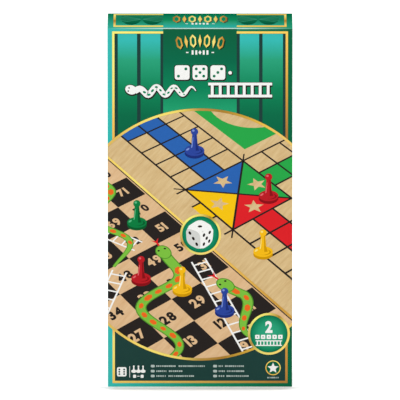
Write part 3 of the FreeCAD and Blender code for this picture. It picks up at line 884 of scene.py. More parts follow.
def ludoBoard(sheet, layer, wood):
    middle = (boardSize / 2, boardSize / 2)

    def put(ink, above, shapes, turn=0.0):
        stamp(sheet, ink, layer + above, moved(shapes, middle, turn, ludoRules["cell"]))

    def lines(ends, wide=ludoRules["line"]):
        shapes = []
        for start, end in ends:
            a, b = Vector(start), Vector(end)
            side = Vector((a.y - b.y, b.x - a.x)).normalized() * wide
            shapes.append([a + side, a - side, b - side, b + side])
        return shapes

    stamp(sheet, wood, layer, [bar(0, 0, boardSize, boardSize)])
    for colour, (sideX, sideY) in ludoRules["quarters"].items():
        xs, ys = (sorted((2.05 * side, 6.95 * side)) for side in (sideX, sideY))
        put(colour, 1, [bar(xs[0], ys[0], xs[1], ys[1])])
        put(wood, 2, [ellipse((4.5 * sideX, 4.5 * sideY), 1.95)])
        for x, y in ((0.85, 0), (-0.85, 0), (0, 0.85), (0, -0.85)):
            nest = (4.5 * sideX + x, 4.5 * sideY + y)
            put("black", 3, ring(nest, 0.47, 0.52, 24))
            put(colour, 3, [ellipse(nest, 0.47, steps=24)])
        edges = lines([((1.5, 1.5), (7.5, 1.5)), ((1.5, 1.5), (1.5, 7.5))])
        put("black", 2, [[(x * sideX, y * sideY) for x, y in shape] for shape in edges])
    for number, colour in enumerate(ludoRules["arms"]):
        turn = number * math.pi / 2
        track = [bar(-0.5, 1.5 + step, 0.5, 2.5 + step) for step in range(5)] + [bar(-1.5, 5.5, -0.5, 6.5)]
        put(colour, 1, track, turn)
        put("black", 2.25, lines([((side, 1.5), (side, 7.5)) for side in (-0.5, 0.5)]), turn)
        put("black", 2.5, lines([((-1.5, y), (1.5, y)) for y in (2.5, 3.5, 4.5, 5.5, 6.5, 7.5)]), turn)
        put(colour, 1, [[(0, 0), (1.5, 1.5), (-1.5, 1.5)]], turn)
        put(wood, 2, [star((0, 0.98), 0.4, 0.17, 5)], turn)
    ends, corners = (-1.5, 1.5), [(x, y) for x in (-1.5, 1.5) for y in (-1.5, 1.5)]
    put("black", 2.75, lines([((-1.5, 1.5), (1.5, -1.5))] + [((-1.5, y), (1.5, y)) for y in ends]))
    put("black", 3, lines([((-1.5, -1.5), (1.5, 1.5))] + [((x, -1.5), (x, 1.5)) for x in ends]))
    put("black", 3.25, lines([((x, y), (x * 1.3, y)) for x, y in corners], ludoRules["spoke"]))
    put("black", 3.5, lines([((x, y), (x * 1.22, y * 1.22)) for x, y in corners], ludoRules["spoke"]))


pawnPrint = {               # tone, layer and shape, on a pawn 26 mm tall with its foot at the origin
    "tall": 26,
    "plain": [
        ("Deep", 0, ellipse((0, 4.4), 7.6, 4.4)),
        ("Base", 1, ellipse((0, 6.4), 7.6, 4.3)),
        ("Deep", 2, ellipse((1.0, 6.0), 5.3, 2.3)),
        ("Base", 3, ellipse((-0.4, 6.3), 5.3, 2.4)),
        ("Base", 4, [
            (-4.9, 5.2), (-3.3, 7.6), (-2.4, 11.0), (-1.7, 19.6), (1.7, 19.6), (2.4, 11.0), (3.3, 7.6), (4.9, 5.2),
        ]),
        ("Base", 5, ellipse((0, 21.4), 2.8, 2.8, steps=28)),
    ],
    "shades": [
        ("Deep", 5, [(0.9, 6.2), (3.6, 6.4), (2.6, 9.4), (1.9, 12.0), (1.4, 19.0), (0.7, 19.0)]),
        ("Pale", 6, ellipse((-0.9, 22.3), 1.0, 0.9, steps=14)),
        ("Pale", 5, [(-2.7, 8.4), (-1.7, 9.0), (-0.9, 17.0), (-1.3, 17.0)]),
        ("Pale", 4, ellipse((-5.2, 7.4), 1.5, 0.7, steps=18, turn=0.6)),
    ],
}


def printPawns(sheet, pawns, tall, layer, shades=True):     # pawns: colour and foot of each
    for colour, foot in pawns:
        for tone, above, shape in pawnPrint["plain"] + (pawnPrint["shades"] if shades else []):
            ink = colour + tone if shades else colour
            stamp(sheet, ink, layer + above, moved([shape], foot, 0, tall / pawnPrint["tall"]))


diePips = {
    1: [(0, 0)],
    2: [(-1, -1), (1, 1)],
    3: [(-1, -1), (0, 0), (1, 1)],
    5: [(-1, -1), (-1, 1), (0, 0), (1, -1), (1, 1)],
    6: [(-1, -1), (-1, 0), (-1, 1), (1, -1), (1, 0), (1, 1)],
}


def printDice(sheet, dice, size, layer, pipInk="black", rim=None):      # dice: middle and count of each
    def square(half, reach):
        return [softened(bar(-half, -half, half, half), reach)]

    for (x, y), count in dice:
        if rim:
            stamp(sheet, rim, layer - 1, moved(square(size / 2 + 0.7, size * 0.22), (x + 0.1, y - 0.3)))
        stamp(sheet, "white", layer, moved(square(size / 2, size * 0.2), (x, y)))
        spots = [(across * size * 0.25, up * size * 0.25) for across, up in diePips[count]]
        stamp(sheet, pipInk, layer + 1, moved([ellipse(spot, size * 0.1, steps=16) for spot in spots], (x, y)))


def printCrown(sheet, row):     # seven jewels by turns, each over its shadow, and a small white row
    for number in range(-3, 4):
        across, layer = number * row["pitch"], row["layer"]
        turn, height = math.radians(-across * row["fan"]), row["height"] - across ** 2 * row["arch"]
        jewel = hexagon(*row["hexagon"]) if number % 2 else lozenge(*row["lozenge"])
        shadow = (across + row["shadow"][0], height + row["shadow"][1])
        stamp(sheet, "night", layer, moved([jewel], shadow, turn))
        stamp(sheet, "crownGold", layer + 1, moved([jewel], (across, height), turn))
        if number % 2:
            stamp(sheet, row["ground"], layer + 2, moved([hexagon(*row["hole"])], (across, height), turn))
    near, far, thin = row["dash"]
    wide, tall = row["pillar"]
    small = [bar(-far, -thin, -near, thin), bar(near, -thin, far, thin), lozenge(*row["gem"])]
    small += [bar(across - wide, -tall, across + wide, tall) for across in (-5.4, -2.7, 2.7, 5.4)]
    stamp(sheet, "white", 6, moved(small, (0, row["small"])))


print("games drawn")


# Printed front of the lid; the window shows both boards on a table

lid = {
    "half": 67.5,
    "front": -24.0,
    "rear": 22.5,
    "top": 270.0,
    "wall": 1.6,
    "bevel": 0.5,
    "frontInset": 0.30,         # how far the shell stands back, so that the print stays inside the box
    "sideInset": 0.14,
}
front = {
    "ground": [
        ("slate", 1, [bar(-63.9, 2.9, 64.0, 267.3)]),
        ("stripe", 2, [
            bar(-59.8, 150, -45.8, 265.4),
            bar(-43.2, 150, -28.8, 265.4),
            bar(28.9, 150, 43.0, 265.4),
            bar(45.5, 150, 60.3, 265.4),
        ]),
        ("centre", 3, [bar(-26.8, 150, 26.7, 269.1)]),
        ("frameGold", 3, [
            bar(-63.9, 2.9, -62.2, 267.3),
            bar(62.3, 2.9, 64.0, 267.3),
            bar(-62.2, 2.9, 62.3, 4.6),
            bar(-62.2, 265.6, -26.8, 267.3),
            bar(26.7, 265.6, 62.3, 267.3),
        ]),
    ],
    "roundel": (0.4, 115.0),
    "badge": (50.3, 40.1),
    "crown": {
        "pitch": 5.05, "fan": 0.9, "arch": 0.0065, "height": 260.2, "layer": 6, "shadow": (0.75, -0.55),
        "lozenge": (1.25, 4.9), "hexagon": (2.2, 5.0, 2.6), "hole": (1.15, 3.3, 1.7), "ground": "centre",
        "small": 251.5, "dash": (8.4, 10.2, 0.4), "gem": (1.1, 1.7), "pillar": (0.7, 1.6),
    },
}
window = {
    "centre": (0.1, 114.8),
    "radius": 94.0,
    "widen": 2.2,
    "rim": 0.9,
    "lean": 38.0,               # degrees that the boards lie turned
    "squash": 0.70,
    "far": 690.0,
    "ludo": (1.2, (126 - 2.66 * 16, 126 - 0.95 * 16)),      # scale, and the spot in the window's middle
    "ladders": (25.2 / 23.5, (252.0 - 4.0, 8.5 + 4.55 * 23.5)),
    "side": 246.0,              # where one board ends and the other begins
    "strip": (-60, 330),
    "pawnTall": 24.5,
    "pawns": [
        ("blue", (-4, 172)),
        ("red", (50, 138)),
        ("yellow", (46, 96)),
        ("green", (-46, 118)),
        ("yellow", (-13, 68)),
        ("blue", (18, 52)),
        ("red", (-43, 76)),
    ],
}


def tableView(scale, anchor):
    lean = math.radians(window["lean"])

    def warp(u, v):
        across, along = (u - anchor[0]) * scale, (v - anchor[1]) * scale
        x = across * math.cos(lean) - along * math.sin(lean)
        y = (across * math.sin(lean) + along * math.cos(lean)) * window["squash"]
        nearness = 1 / (1 + y / window["far"])
        return (window["centre"][0] + x * nearness, window["centre"][1] + y * nearness)

    return warp


def printWindow(sheet):
    centre, radius, widen, rim = (window[key] for key in ("centre", "radius", "widen", "rim"))
    edge = lid["half"] - lid["sideInset"] - 0.1
    sides = barClip(-edge, 0, edge, lid["top"])
    clips = roundClip(centre, radius + widen, radius) + sides
    ludoView, laddersView = tableView(*window["ludo"]), tableView(*window["ladders"])
    side, (near, far) = window["side"], window["strip"]
    seam = laddersView(side, 0)
    low, high = Vector(seam), Vector(laddersView(side, boardSize))
    normal = Vector((high.y - low.y, low.x - high.x)).normalized()
    lookThrough(sheet, ludoView, clips + ((seam, tuple(-normal)),))
    ludoBoard(sheet, 4, "pageWood")
    lookThrough(sheet, laddersView, clips + ((seam, tuple(normal)),))
    laddersBoard(sheet, 9, "squareWood")
    lookThrough(sheet, laddersView, clips)
    stamp(sheet, "pageWood", 8, [bar(side, near, side + 15, far)])
    stamp(sheet, "gold", 19, [bar(side - 0.8, near, side + 1.0, far)])
    lookThrough(sheet, None, clips)
    printPawns(sheet, window["pawns"], window["pawnTall"], 19)
    lookThrough(sheet, None, sides)
    stamp(sheet, "rimGold", 24, ring(centre, radius - rim, radius + rim, 120, widen))
    lookThrough(sheet)


roundel = {                     # a die seen from a corner, in a gold ring
    "outline": [(-10.0, -6.8), (0.0, -12.0), (8.6, -6.4), (9.6, 5.8), (-0.4, 11.8), (-10.8, 5.2)],
    "faces": [                  # ink, corners, pips and their size
        ("white", [(-10.8, 5.2), (-0.2, 1.4), (9.6, 5.8), (-0.4, 11.8)], [(0.5, 0.5)], 0.115),
        (
            "grey",
            [(-10.8, 5.2), (-0.2, 1.4), (0.0, -12.0), (-10.0, -6.8)],
            [(0.27, 0.25), (0.5, 0.5), (0.73, 0.75)],
            0.1,
        ),
        (
            "white",
            [(-0.2, 1.4), (9.6, 5.8), (8.6, -6.4), (0.0, -12.0)],
            [(0.28, 0.24), (0.28, 0.76), (0.5, 0.5), (0.72, 0.24), (0.72, 0.76)],
            0.1,
        ),
    ],
}


def printRoundel(sheet, centre):
    stamp(sheet, "roundelGold", 25, [ellipse(centre, 15.0, 15.3, 72)])
    stamp(sheet, "roundel", 26, [ellipse(centre, 13.4, 13.7, 72)])
    stamp(sheet, "white", 27, moved([softened(roundel["outline"], 5.6, 6)], centre))
    for ink, corners, places, size in roundel["faces"]:
        stamp(sheet, ink, 28, moved([softened(corners, 4.2, 6)], centre))
        a, b, c, d = (Vector(corner) for corner in corners)
        pips = []
        for place in places:
            shares = ellipse(place, size, steps=16)
            pips.append([a * (1 - s) * (1 - t) + b * s * (1 - t) + c * s * t + d * (1 - s) * t for s, t in shares])
        stamp(sheet, "black", 29, moved(pips, centre))


def printBadge(sheet, centre):
    x, y = centre
    spots = [(x + number * 4.2, y - 2.3) for number in range(-2, 3)]
    dice = [moved([softened(bar(-1.6, -1.6, 1.6, 1.6), 0.6)], spot)[0] for spot in spots]
    ladder = ladderShapes((x - 9.6, y - 7.0), (x + 9.6, y - 7.0), 3.4, 0.8, 8, "white")
    stampAll(sheet, [
        ("badgeGold", 25, [ellipse(centre, 15.4, 15.8, 72)]),
        ("badge", 26, [ellipse(centre, 13.7, 14.1, 72)]),
        ("white", 27, numberShapes(2, (x, y + 5.2), 9.0) + dice + ladder),
        ("badge", 28, [ellipse(spot, 0.5, steps=12) for spot in spots]),
    ])


title = {
    "dice": [((-13.0, 236.5), 2), ((0.0, 236.5), 5), ((13.0, 236.5), 3)],
    "dot": [
        ("black", 6, [ellipse((22.1, 236.0), 1.9, steps=24)]),
        ("white", 7, [ellipse((21.9, 236.3), 1.3, steps=24)]),
    ],
    "snake": ((-47.5, 222.6), (-3.0, 222.8), 3.5, 3.0),
    "head": [
        ("black", 5, [ellipse((-50.0, 223.2), 5.0, 4.2, turn=-0.4)]),
        ("white", 8, [ellipse((-50.2, 223.6), 4.3, 3.4, turn=-0.4)]),
        ("black", 9, [ellipse((-51.6, 225.0), 0.6, steps=12), ellipse((-52.2, 222.6), 0.6, steps=12)]),
    ],
    "ladder": ((6.0, 223.4), (52.5, 223.4)),
}


def printTitle(sheet):
    printDice(sheet, title["dice"], 10.8, 7, pipInk="centre", rim="black")
    stampAll(sheet, title["dot"])
    path = waveLine(*title["snake"])
    stamp(sheet, "black", 6, ribbon(path, 6.0, 0.72, 3, (0.35, -0.45)))
    stamp(sheet, "white", 7, ribbon(path, 4.6, 0.84, 3))
    stampAll(sheet, title["head"])
    stamp(sheet, "centre", 8, spotShapes(path[6:-8], 11, 1.4, 0.6, 2, "centre"))
    for shift, ink, layer, line in (((0.3, -0.45), "black", 6, 3.4), ((0, 0), "white", 7, 2.0)):
        start, end = (Vector(spot) + Vector(shift) for spot in title["ladder"])
        stamp(sheet, ink, layer, ladderShapes(start, end, 9.0, line, 8, ink))


foot = {
    "die": [((-57.2, 11.4), 6)],
    "line": (-51.6, 7.2, -51.2, 15.6),
    "pawns": [("white", (-48.4, 10.6)), ("white", (-45.0, 10.6)), ("white", (-41.6, 10.6))],
    "pads": (-48.9, -43.4),
    "rows": [                   # height, then for each column its left end, first word, space and second word
        (15.7, (-36.0, 14.5, 2.0, 19.5), (9.6, 3.6, 1.2, 14.0)),
        (11.9, (-36.0, 8.0, 1.4, 10.0), (9.6, 5.0, 1.0, 13.0)),
        (8.2, (-36.0, 7.5, 1.4, 19.0), (9.6, 4.6, 1.2, 16.5)),
    ],
    "dashPitch": 1.35,
    "mark": [
        ("gold", 4, [ellipse((53.4, 14.4), 5.6, steps=48)]),
        ("pine", 5, [ellipse((53.4, 14.4), 4.9, steps=48)]),
        ("white", 6, [star((53.4, 14.2), 4.2, 1.9, 5)]),
    ],
}


def printFoot(sheet):
    printDice(sheet, foot["die"], 7.0, 4, pipInk="slate")
    stamp(sheet, "white", 4, [bar(*foot["line"])])
    printPawns(sheet, foot["pawns"], 6.0, 4, shades=False)
    stamp(sheet, "white", 4, [softened(bar(left, 6.8, left + 2.2, 9.2), 0.7) for left in foot["pads"]])
    stamp(sheet, "white", 4, [bar(-46.0, 7.8, -44.2, 8.3)])
    for row, (height, *columns) in enumerate(foot["rows"]):
        for left, first, space, second in columns:
            stamp(sheet, "haze", 4, [softened(bar(left, height - 0.95, left + 2.9, height + 0.95), 0.8)])
            for start, length in ((left + 3.8, first), (left + 3.8 + first + space, second)):
                count, seed = round(length / foot["dashPitch"]), row * 7 + int(start) + 60
                stamp(sheet, "haze", 4, dashShapes((start, height), length, 1.15, count, seed, "haze"))
    stampAll(sheet, foot["mark"])
    stamp(sheet, "haze", 4, dashShapes((49.0, 7.0), 8.8, 1.0, 6, 9, "haze"))


def printFront():
    sheet = newPrint((0, lid["front"] + lid["frontInset"], 0), toRight, toTop, 0.0092)
    stampAll(sheet, front["ground"])
    printWindow(sheet)
    printRoundel(sheet, front["roundel"])
    printBadge(sheet, front["badge"])
    printCrown(sheet, front["crown"])
    printTitle(sheet)
    printFoot(sheet)
    finishPrint("lidFront", sheet, "lid", "printed_board")


printFront()
print("front printed")


# Box shells: folded greyboard with printed paper outside and a lining inside

def boxShell(outer, inner, openSide, bevel, turnIn=15.0):   # open towards the back (1) or the front (-1)
    shell = bmesh.new()
    mouth, closed = (1, 0) if openSide > 0 else (0, 1)
    mouthY = outer[mouth][1]

    def loop(box, y):
        (left, _, low), (right, _, high) = box
        return [shell.verts.new((x * mm, y * mm, z * mm)) for x, z in bar(left, low, right, high)]

    back = loop(outer, outer[closed][1])
    rings = [back, loop(outer, mouthY), loop(inner, mouthY)]
    rings += [loop(inner, mouthY - openSide * turnIn), loop(inner, inner[closed][1])]
    for first, second, slotNumber in zip(rings, rings[1:], (0, 1, 1, 2)):
        for number in range(4):
            following = (number + 1) % 4
            face = shell.faces.new([first[number], first[following], second[following], second[number]])
            face.material_index = slotNumber
    for corners, slotNumber in ((back, 0), (rings[-1], 2)):
        shell.faces.new(corners).material_index = slotNumber
    bmesh.ops.recalc_face_normals(shell, faces=shell.faces[:])

    def soften(edges, width, steps):
        shape = {"offset_type": "OFFSET", "profile": 0.5, "affect": "EDGES"}
        bmesh.ops.bevel(shell, geom=edges, offset=width * mm, segments=steps, **shape)

    soften([edge for edge in shell.edges if any(vert in back for vert in edge.verts)], bevel, 3)
    rim = [edge for edge in shell.edges if len({face.material_index for face in edge.link_faces}) == 2]
    soften([edge for edge in rim if all(abs(vert.co.y - mouthY * mm) < 1e-7 for vert in edge.verts)], 0.2, 2)
    return shell


def borderColour(tree):     # teal on the left to deep green on the right; the top pales towards its front edge; a painted highlight lies along the rounded top front edge
    across = along(tree, toRight, -67.5, 67.5)
    front = ramp(
        tree, across, [(0, "#3CC0B8"), (0.1, "#38BAAE"), (0.5, "#1F9068"), (0.85, "#13704B"), (1, "#106643")]
    )
    near = ramp(tree, across, [(0, "#35B7A0"), (0.5, "#3AB99F"), (0.85, "#33A883"), (1, "#27A27A")])
    far = ramp(tree, across, [(0, "#0E7E55"), (0.5, "#02703F"), (1, "#06724A")])
    top = blendColours(tree, along(tree, toBack, -24, 18), near, far)
    whole = blendColours(tree, along(tree, toTop, 269.2, 269.6), front, top)
    # painted highlight: a pale line along the rounded edge between the front and the top
    shine = ramp(tree, across, [(0, "#3DB9A6"), (0.3, "#BFE6DC"), (0.75, "#BFE6DC"), (1, "#2F9A78")])
    return blendColours(tree, along(tree, (0, -0.7071, 0.7071), 206.93, 207.03), whole, shine)


liner = paperMaterial("linerPaper", "#E9E6DD", gloss=0.6, mottle=0.08, shine=0.25)
greyboard = paperMaterial("greyboard", "#8F8A80", gloss=0.8, mottle=0.25, relief=0.6, fibres=900.0, shine=0.15)


def finishShell(name, node, colour, box, shell, body, slotName):
    paper = paperMaterial(name + "Paper", colour, gloss=0.4, shine=0.0, box=box)
    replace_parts(newPiece(name + "Shell", shell, [paper, paper, liner], body, slotName), node)


def makeLid():
    inset, half, wall = lid["frontInset"], lid["half"] - lid["sideInset"], lid["wall"]
    outer = ((-half, lid["front"] + inset, 0.0), (half, lid["rear"], lid["top"] - inset))
    inside = lid["half"] - wall
    inner = ((-inside, lid["front"] + wall, wall), (inside, lid["rear"], lid["top"] - wall))
    box = ((0, -0.75, 135), (half, 23.25 - inset, 135))
    finishShell("lid", "box_lid", borderColour, box, boxShell(outer, inner, 1, lid["bevel"]), "lid", "printed_board")


top = {
    "panel": (26.8, 63.0),
    "field": (-20.4, 19.6),
    "inside": (-15.9, 17.0),
    "post": 1.6,
    "lobes": (34.7, 50.1),
    "rays": (-33, -14, 4, 21, 36),
    "ray": [(0.9, -0.3), (16.0, -0.55), (16.0, 0.55), (0.9, 0.3)],
    "centre": (-26.8, -23.0, 26.8, 21.5),
    "crown": {
        "pitch": 5.7, "fan": 0, "arch": 0, "height": 3.6, "layer": 5, "shadow": (0.8, -1.6),
        "lozenge": (1.5, 10.6), "hexagon": (2.6, 11.0, 5.6), "hole": (1.4, 7.0, 3.6), "ground": "topCentre",
        "small": -10.7, "dash": (8.8, 10.6, 0.7), "gem": (1.0, 3.0), "pillar": (0.75, 2.5),
    },
}


def printTop():             # two striped panels in gold frames, ornaments between them
    sheet = newPrint((0, 0, lid["top"] - lid["frontInset"]), toRight, toBack, 0.03)
    (low, high), (near, far) = top["field"], top["inside"]
    for side in (-1, 1):
        left, right = sorted(side * edge for edge in top["panel"])
        stamp(sheet, "topField", 1, [bar(left, low, right, high)])
        lookThrough(sheet, None, barClip(left, near, right, far))
        stamp(sheet, "lobe", 2, [ellipse((side * across, 6.5), 7.4, 20.0) for across in top["lobes"]])
        turns = [turn for degrees in top["rays"] for turn in (degrees, 180 - degrees)]
        for number, turn in enumerate(turns):
            ray = moved([top["ray"]], (side * 42.4, 3.5), math.radians(turn))
            stamp(sheet, "ray", 3 + number * 0.05, ray)
        lookThrough(sheet)
        stamp(sheet, "topGold", 4, [bar(left, low, right, near), bar(left, far, right, high)])
        post = left if side < 0 else right - top["post"]
        stamp(sheet, "postGold", 4, [bar(post, near, post + top["post"], far)])
    stamp(sheet, "topCentre", 4, [bar(*top["centre"])])
    printCrown(sheet, top["crown"])
    finishPrint("lidTopPrint", sheet, "lid", "printed_board")


sideSpot = (23.25, 135)
side = {
    "ground": [
        ("gold", 2, frameBars(4.5, 3.0, 42.0, 267.0, 1.6)),
        ("slate", 1, [bar(6.1, 4.6, 40.4, 265.4)]),
        ("stripe", 2, stripeBars(6.1, 40.4, 178.0, 265.4, 3)),
        ("gold", 3, [ellipse(sideSpot, 15.6, steps=64)]),
        ("roundel", 4, [ellipse(sideSpot, 14.0, steps=64)]),
    ],
    "pawns": [("red", (23.25, 98)), ("blue", (23.25, 68)), ("green", (23.25, 38)), ("yellow", (23.25, 8.5))],
    "dice": [((23.25, 222), 3), ((23.25, 204), 2), ((23.25, 186), 1)],
}


def printSide(name, way):   # a gold frame, a roundel with the die, pawns below it and dice above
    origin = (way * (lid["half"] - lid["sideInset"]), lid["rear"] if way < 0 else lid["front"], 0)
    sheet = newPrint(origin, (0, way, 0), toTop, 0.0125)
    stampAll(sheet, side["ground"])
    printDice(sheet, [(sideSpot, 5)], 15.0, 5)
    printPawns(sheet, side["pawns"], 22.0, 2)
    printDice(sheet, side["dice"], 13.0, 5, pipInk="pine")
    finishPrint(name, sheet, "lid", "printed_board")


makeLid()
printTop()
printSide("lidLeftPrint", -1)
printSide("lidRightPrint", 1)
print("lid made")


# Base of the box, printed behind

base = {
    "half": 65.5,
    "front": -21.0,
    "back": 24.0,
    "low": 2.0,
    "high": 268.0,
    "wall": 1.6,
    "inset": 0.3,
    "bevel": 0.5,
    "ground": [
        ("slate", 1, [bar(2.0, 2.0, 129.0, 264.0)]),
        ("gold", 2, frameBars(3.0, 3.0, 128.0, 263.0, 1.6)),
        ("stripe", 2, stripeBars(6.0, 125.0, 196.0, 260.0, 8)),
    ],
    "pictures": (("ludo", 9.0), ("ladders", 69.0)),     # small boards, and lines of text under them
    "picture": (118.0, 53.0),   # their lower edge and their size
    "badge": [
        ("gold", 4, [ellipse((65.5, 228), 21.0, steps=72)]),
        ("roundel", 5, [ellipse((65.5, 228), 19.2, steps=72)]),
    ],
    "badgeDice": [((54.5, 221.5), 5), ((76.5, 221.5), 3)],
    "badgePawns": [
        ("yellow", (54.5, 230.5)), ("red", (61.8, 230.5)), ("blue", (69.2, 230.5)), ("green", (76.5, 230.5)),
    ],
    "text": {"high": 104.0, "pitch": 7.0, "lengths": (53.0, 31.0), "height": 1.9, "dashes": 8},
    "pawns": [("red", (20.0, 12.0)), ("blue", (38.0, 12.0)), ("green", (56.0, 12.0)), ("yellow", (74.0, 12.0))],
    "die": [((104.0, 21.0), 6)],
}


def printSmallBoard(sheet, kind, wood, layer, left, low, size):
    def view(u, v):
        return (left + u * size / boardSize, low + v * size / boardSize)

    lookThrough(sheet, view, barClip(left, low, left + size, low + size))
    if kind == "ladders":
        laddersBoard(sheet, layer, wood, figures=False)
    else:
        ludoBoard(sheet, layer, wood)
    lookThrough(sheet)


def printBack():
    sheet = newPrint((base["half"], base["back"] - base["inset"], base["low"]), (-1, 0, 0), toTop, 0.02)
    stampAll(sheet, base["ground"])
    low, size = base["picture"]
    for kind, left in base["pictures"]:
        stamp(sheet, "gold", 3, [bar(left - 1.2, low - 1.2, left + size + 1.2, low + size + 1.2)])
        printSmallBoard(sheet, kind, "boardWood", 4, left, low, size)
    stampAll(sheet, base["badge"])
    printDice(sheet, base["badgeDice"], 14.0, 6)
    printPawns(sheet, base["badgePawns"], 12.0, 6)
    for column, (_, left) in enumerate(base["pictures"]):
        stamp(sheet, "grey", 3, textShapes("grey", left, range(column, column + 27, 3), **base["text"]))
    printPawns(sheet, base["pawns"], 20.0, 3)
    printDice(sheet, base["die"], 17.0, 5, pipInk="pine")
    finishPrint("basePrint", sheet, "base", "base_board")


def makeBase():
    half, low, high, wall = base["half"], base["low"], base["high"], base["wall"]
    outer = ((-half, base["front"], low), (half, base["back"] - base["inset"], high))
    inner = ((wall - half, base["front"], low + wall), (half - wall, base["back"] - wall, high - wall))
    colour = rampColour(toTop, 0, 270, (0, "#15493A"), (0.5, "#1A6A50"), (1, "#1F8C68"))
    box = ((0, 1.35, 135), (half, 22.35, 133))
    finishShell("base", "box_base", colour, box, boxShell(outer, inner, -1, base["bevel"]), "base", "base_board")


makeBase()
printBack()
print("base made")


# Folding board: printed sheets on greyboard panels, cloth tape over the fold

board = {
    "low": 3.9,
    "corner": 3.0,
    "sheet": 0.2,
    "skin": 0.1,                # what of the sheet's thickness the print stands on
    "halves": [                 # node, game, origin on X, face on Y, side it faces, where the half starts, body
        ("rear_ladders", "ladders", -189.0, -19.0, -1, 126, "board_rear"),
        ("front_ladders", "ladders", 63.0, -19.4, 1, 0, "board_front"),
        ("rear_ludo", "ludo", 63.0, -16.6, 1, 0, "board_rear"),
        ("front_ludo", "ludo", -189.0, -21.8, -1, 126, "board_front"),
    ],
}


def makeHalf(name, game, originX, faceY, side, start, body):
    low, skin, slotName = board["low"], board["skin"], game + "_print"
    rounded = softened(bar(0, 0, boardSize, boardSize), board["corner"], steps=5)
    outline = [(min(max(x, start), start + 126), y) for x, y in rounded]
    outline = [spot for number, spot in enumerate(outline) if spot != outline[number - 1]]
    sheet = newPrint((originX, faceY - side * skin, low), (-side, 0, 0), toTop, 0.01)
    lookThrough(sheet, None, polygonClip(outline))
    if game == "ladders":
        laddersBoard(sheet, 1, "tileWood")
    else:
        ludoBoard(sheet, 1, "boardWood")
    finishPrint(name + "Print", sheet, body, slotName)
    slab = bmesh.new()
    rings = [
        [slab.verts.new(((originX - side * x) * mm, y * mm, (low + up) * mm)) for x, up in outline]
        for y in (faceY - side * board["sheet"], faceY - side * skin)
    ]
    for ringVerts in rings:
        slab.faces.new(ringVerts)
    for number in range(len(outline)):
        slab.faces.new([rings[0][number - 1], rings[0][number], rings[1][number], rings[1][number - 1]])
    bmesh.ops.recalc_face_normals(slab, faces=slab.faces[:])
    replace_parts(newPiece(name + "Sheet", slab, [liner], body, slotName), name + "_sheet")


for half in board["halves"]:
    makeHalf(*half)
print("board printed")


def foldedStrip(path, thick, low, high, levels):     # a strip of even thickness along a flat path, upright
    strip = bmesh.new()
    spots = [Vector(spot) for spot in path]
    sides = [sideStep(spots, number) * thick / 2 for number in range(len(spots))]
    edge = [spot + side for spot, side in zip(spots, sides)]
    edge += [spot - side for spot, side in zip(reversed(spots), reversed(sides))]
    heights = [low + (high - low) * number / levels for number in range(levels + 1)]
    rings = [[strip.verts.new((spot.x * mm, spot.y * mm, height * mm)) for spot in edge] for height in heights]
    for one, two in zip(rings, rings[1:]):
        for number in range(len(edge)):
            strip.faces.new([one[number - 1], one[number], two[number], two[number - 1]])
    for ringVerts in (rings[0], rings[-1]):
        for number in range(len(spots) - 1):
            strip.faces.new([ringVerts[place] for place in (number, number + 1, -2 - number, -1 - number)])
    bmesh.ops.recalc_face_normals(strip, faces=strip.faces[:])
    smoothByAngle(strip)
    return strip


def foldPath(left, right, low, high, bend, steps, parts=6, rise=10):    # right end, round the left side and back
    run, drop = right - left - bend, high - low - 2 * bend
    path = [(right - run * number / parts, high) for number in range(parts)]
    for level, quarter in ((high - bend, 1), (low + bend, 2)):
        for number in range(steps + 1):
            angle = math.pi / 2 * (quarter + number / steps)
            path.append((left + bend + bend * math.cos(angle), level + bend * math.sin(angle)))
        if quarter == 1:
            path += [(left, high - bend - drop * number / rise) for number in range(1, rise)]
    return path + [(left + bend + run * number / parts, low) for number in range(1, parts + 1)]


tape = {
    "box": (-63.55, -51.0, -22.1, -16.3),   # left, right, front and rear
    "thick": 0.24,
    "inset": 0.125,             # from the tape's outside to its middle layer
    "bend": 0.7,
    "height": 252,
    "start": (-0.0634, -0.01635, 0.13),     # the fold round its left side runs between these two places, in metres
    "end": (-0.0634, -0.02205, 0.13),
}


def makeTape():
    material, tree, shader = newMaterial("hingeCloth")
    threads = {"Vector": objectPlace(tree), "Scale": 620.0, "Distortion": 0.6}
    bands = [addNode(tree, "ShaderNodeTexWave", threads, bands_direction=way)["Fac"] for way in ("Z", "DIAGONAL")]
    weave = calc(tree, "MULTIPLY", *bands)
    finish = {
        "Base Color": ramp(tree, weave, [(0, "#1B1C1D"), (1, "#3A3C3E")]),
        "Normal": bump(tree, weave, 0.5, 0.00008),
        "Roughness": 0.8,
        "Specular IOR Level": 0.2,
    }
    feed(tree, shader, finish)
    (left, right, near, far), inset, low = tape["box"], tape["inset"], board["low"]
    path = foldPath(left + inset, right, near + inset, far - inset, tape["bend"], 5)
    strip = foldedStrip(path, tape["thick"], low, low + tape["height"], 12)
    piece = newPiece("hingeTape", strip, [material], None, "hinge_cloth")
    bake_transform(piece)
    width = sum((Vector(there) - Vector(here)).length for here, there in zip(path, path[1:])) * mm
    print(f"hinge tape unrolled: {width:.4f}")
    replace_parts(piece, "hinge_tape")


makeTape()
for node in ("rear_panel", "front_panel"):
    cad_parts[node].data.materials.clear()
    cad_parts[node].data.materials.append(greyboard)
print("board made")


# Leaflet, folded once, with rules drawn as small diagrams

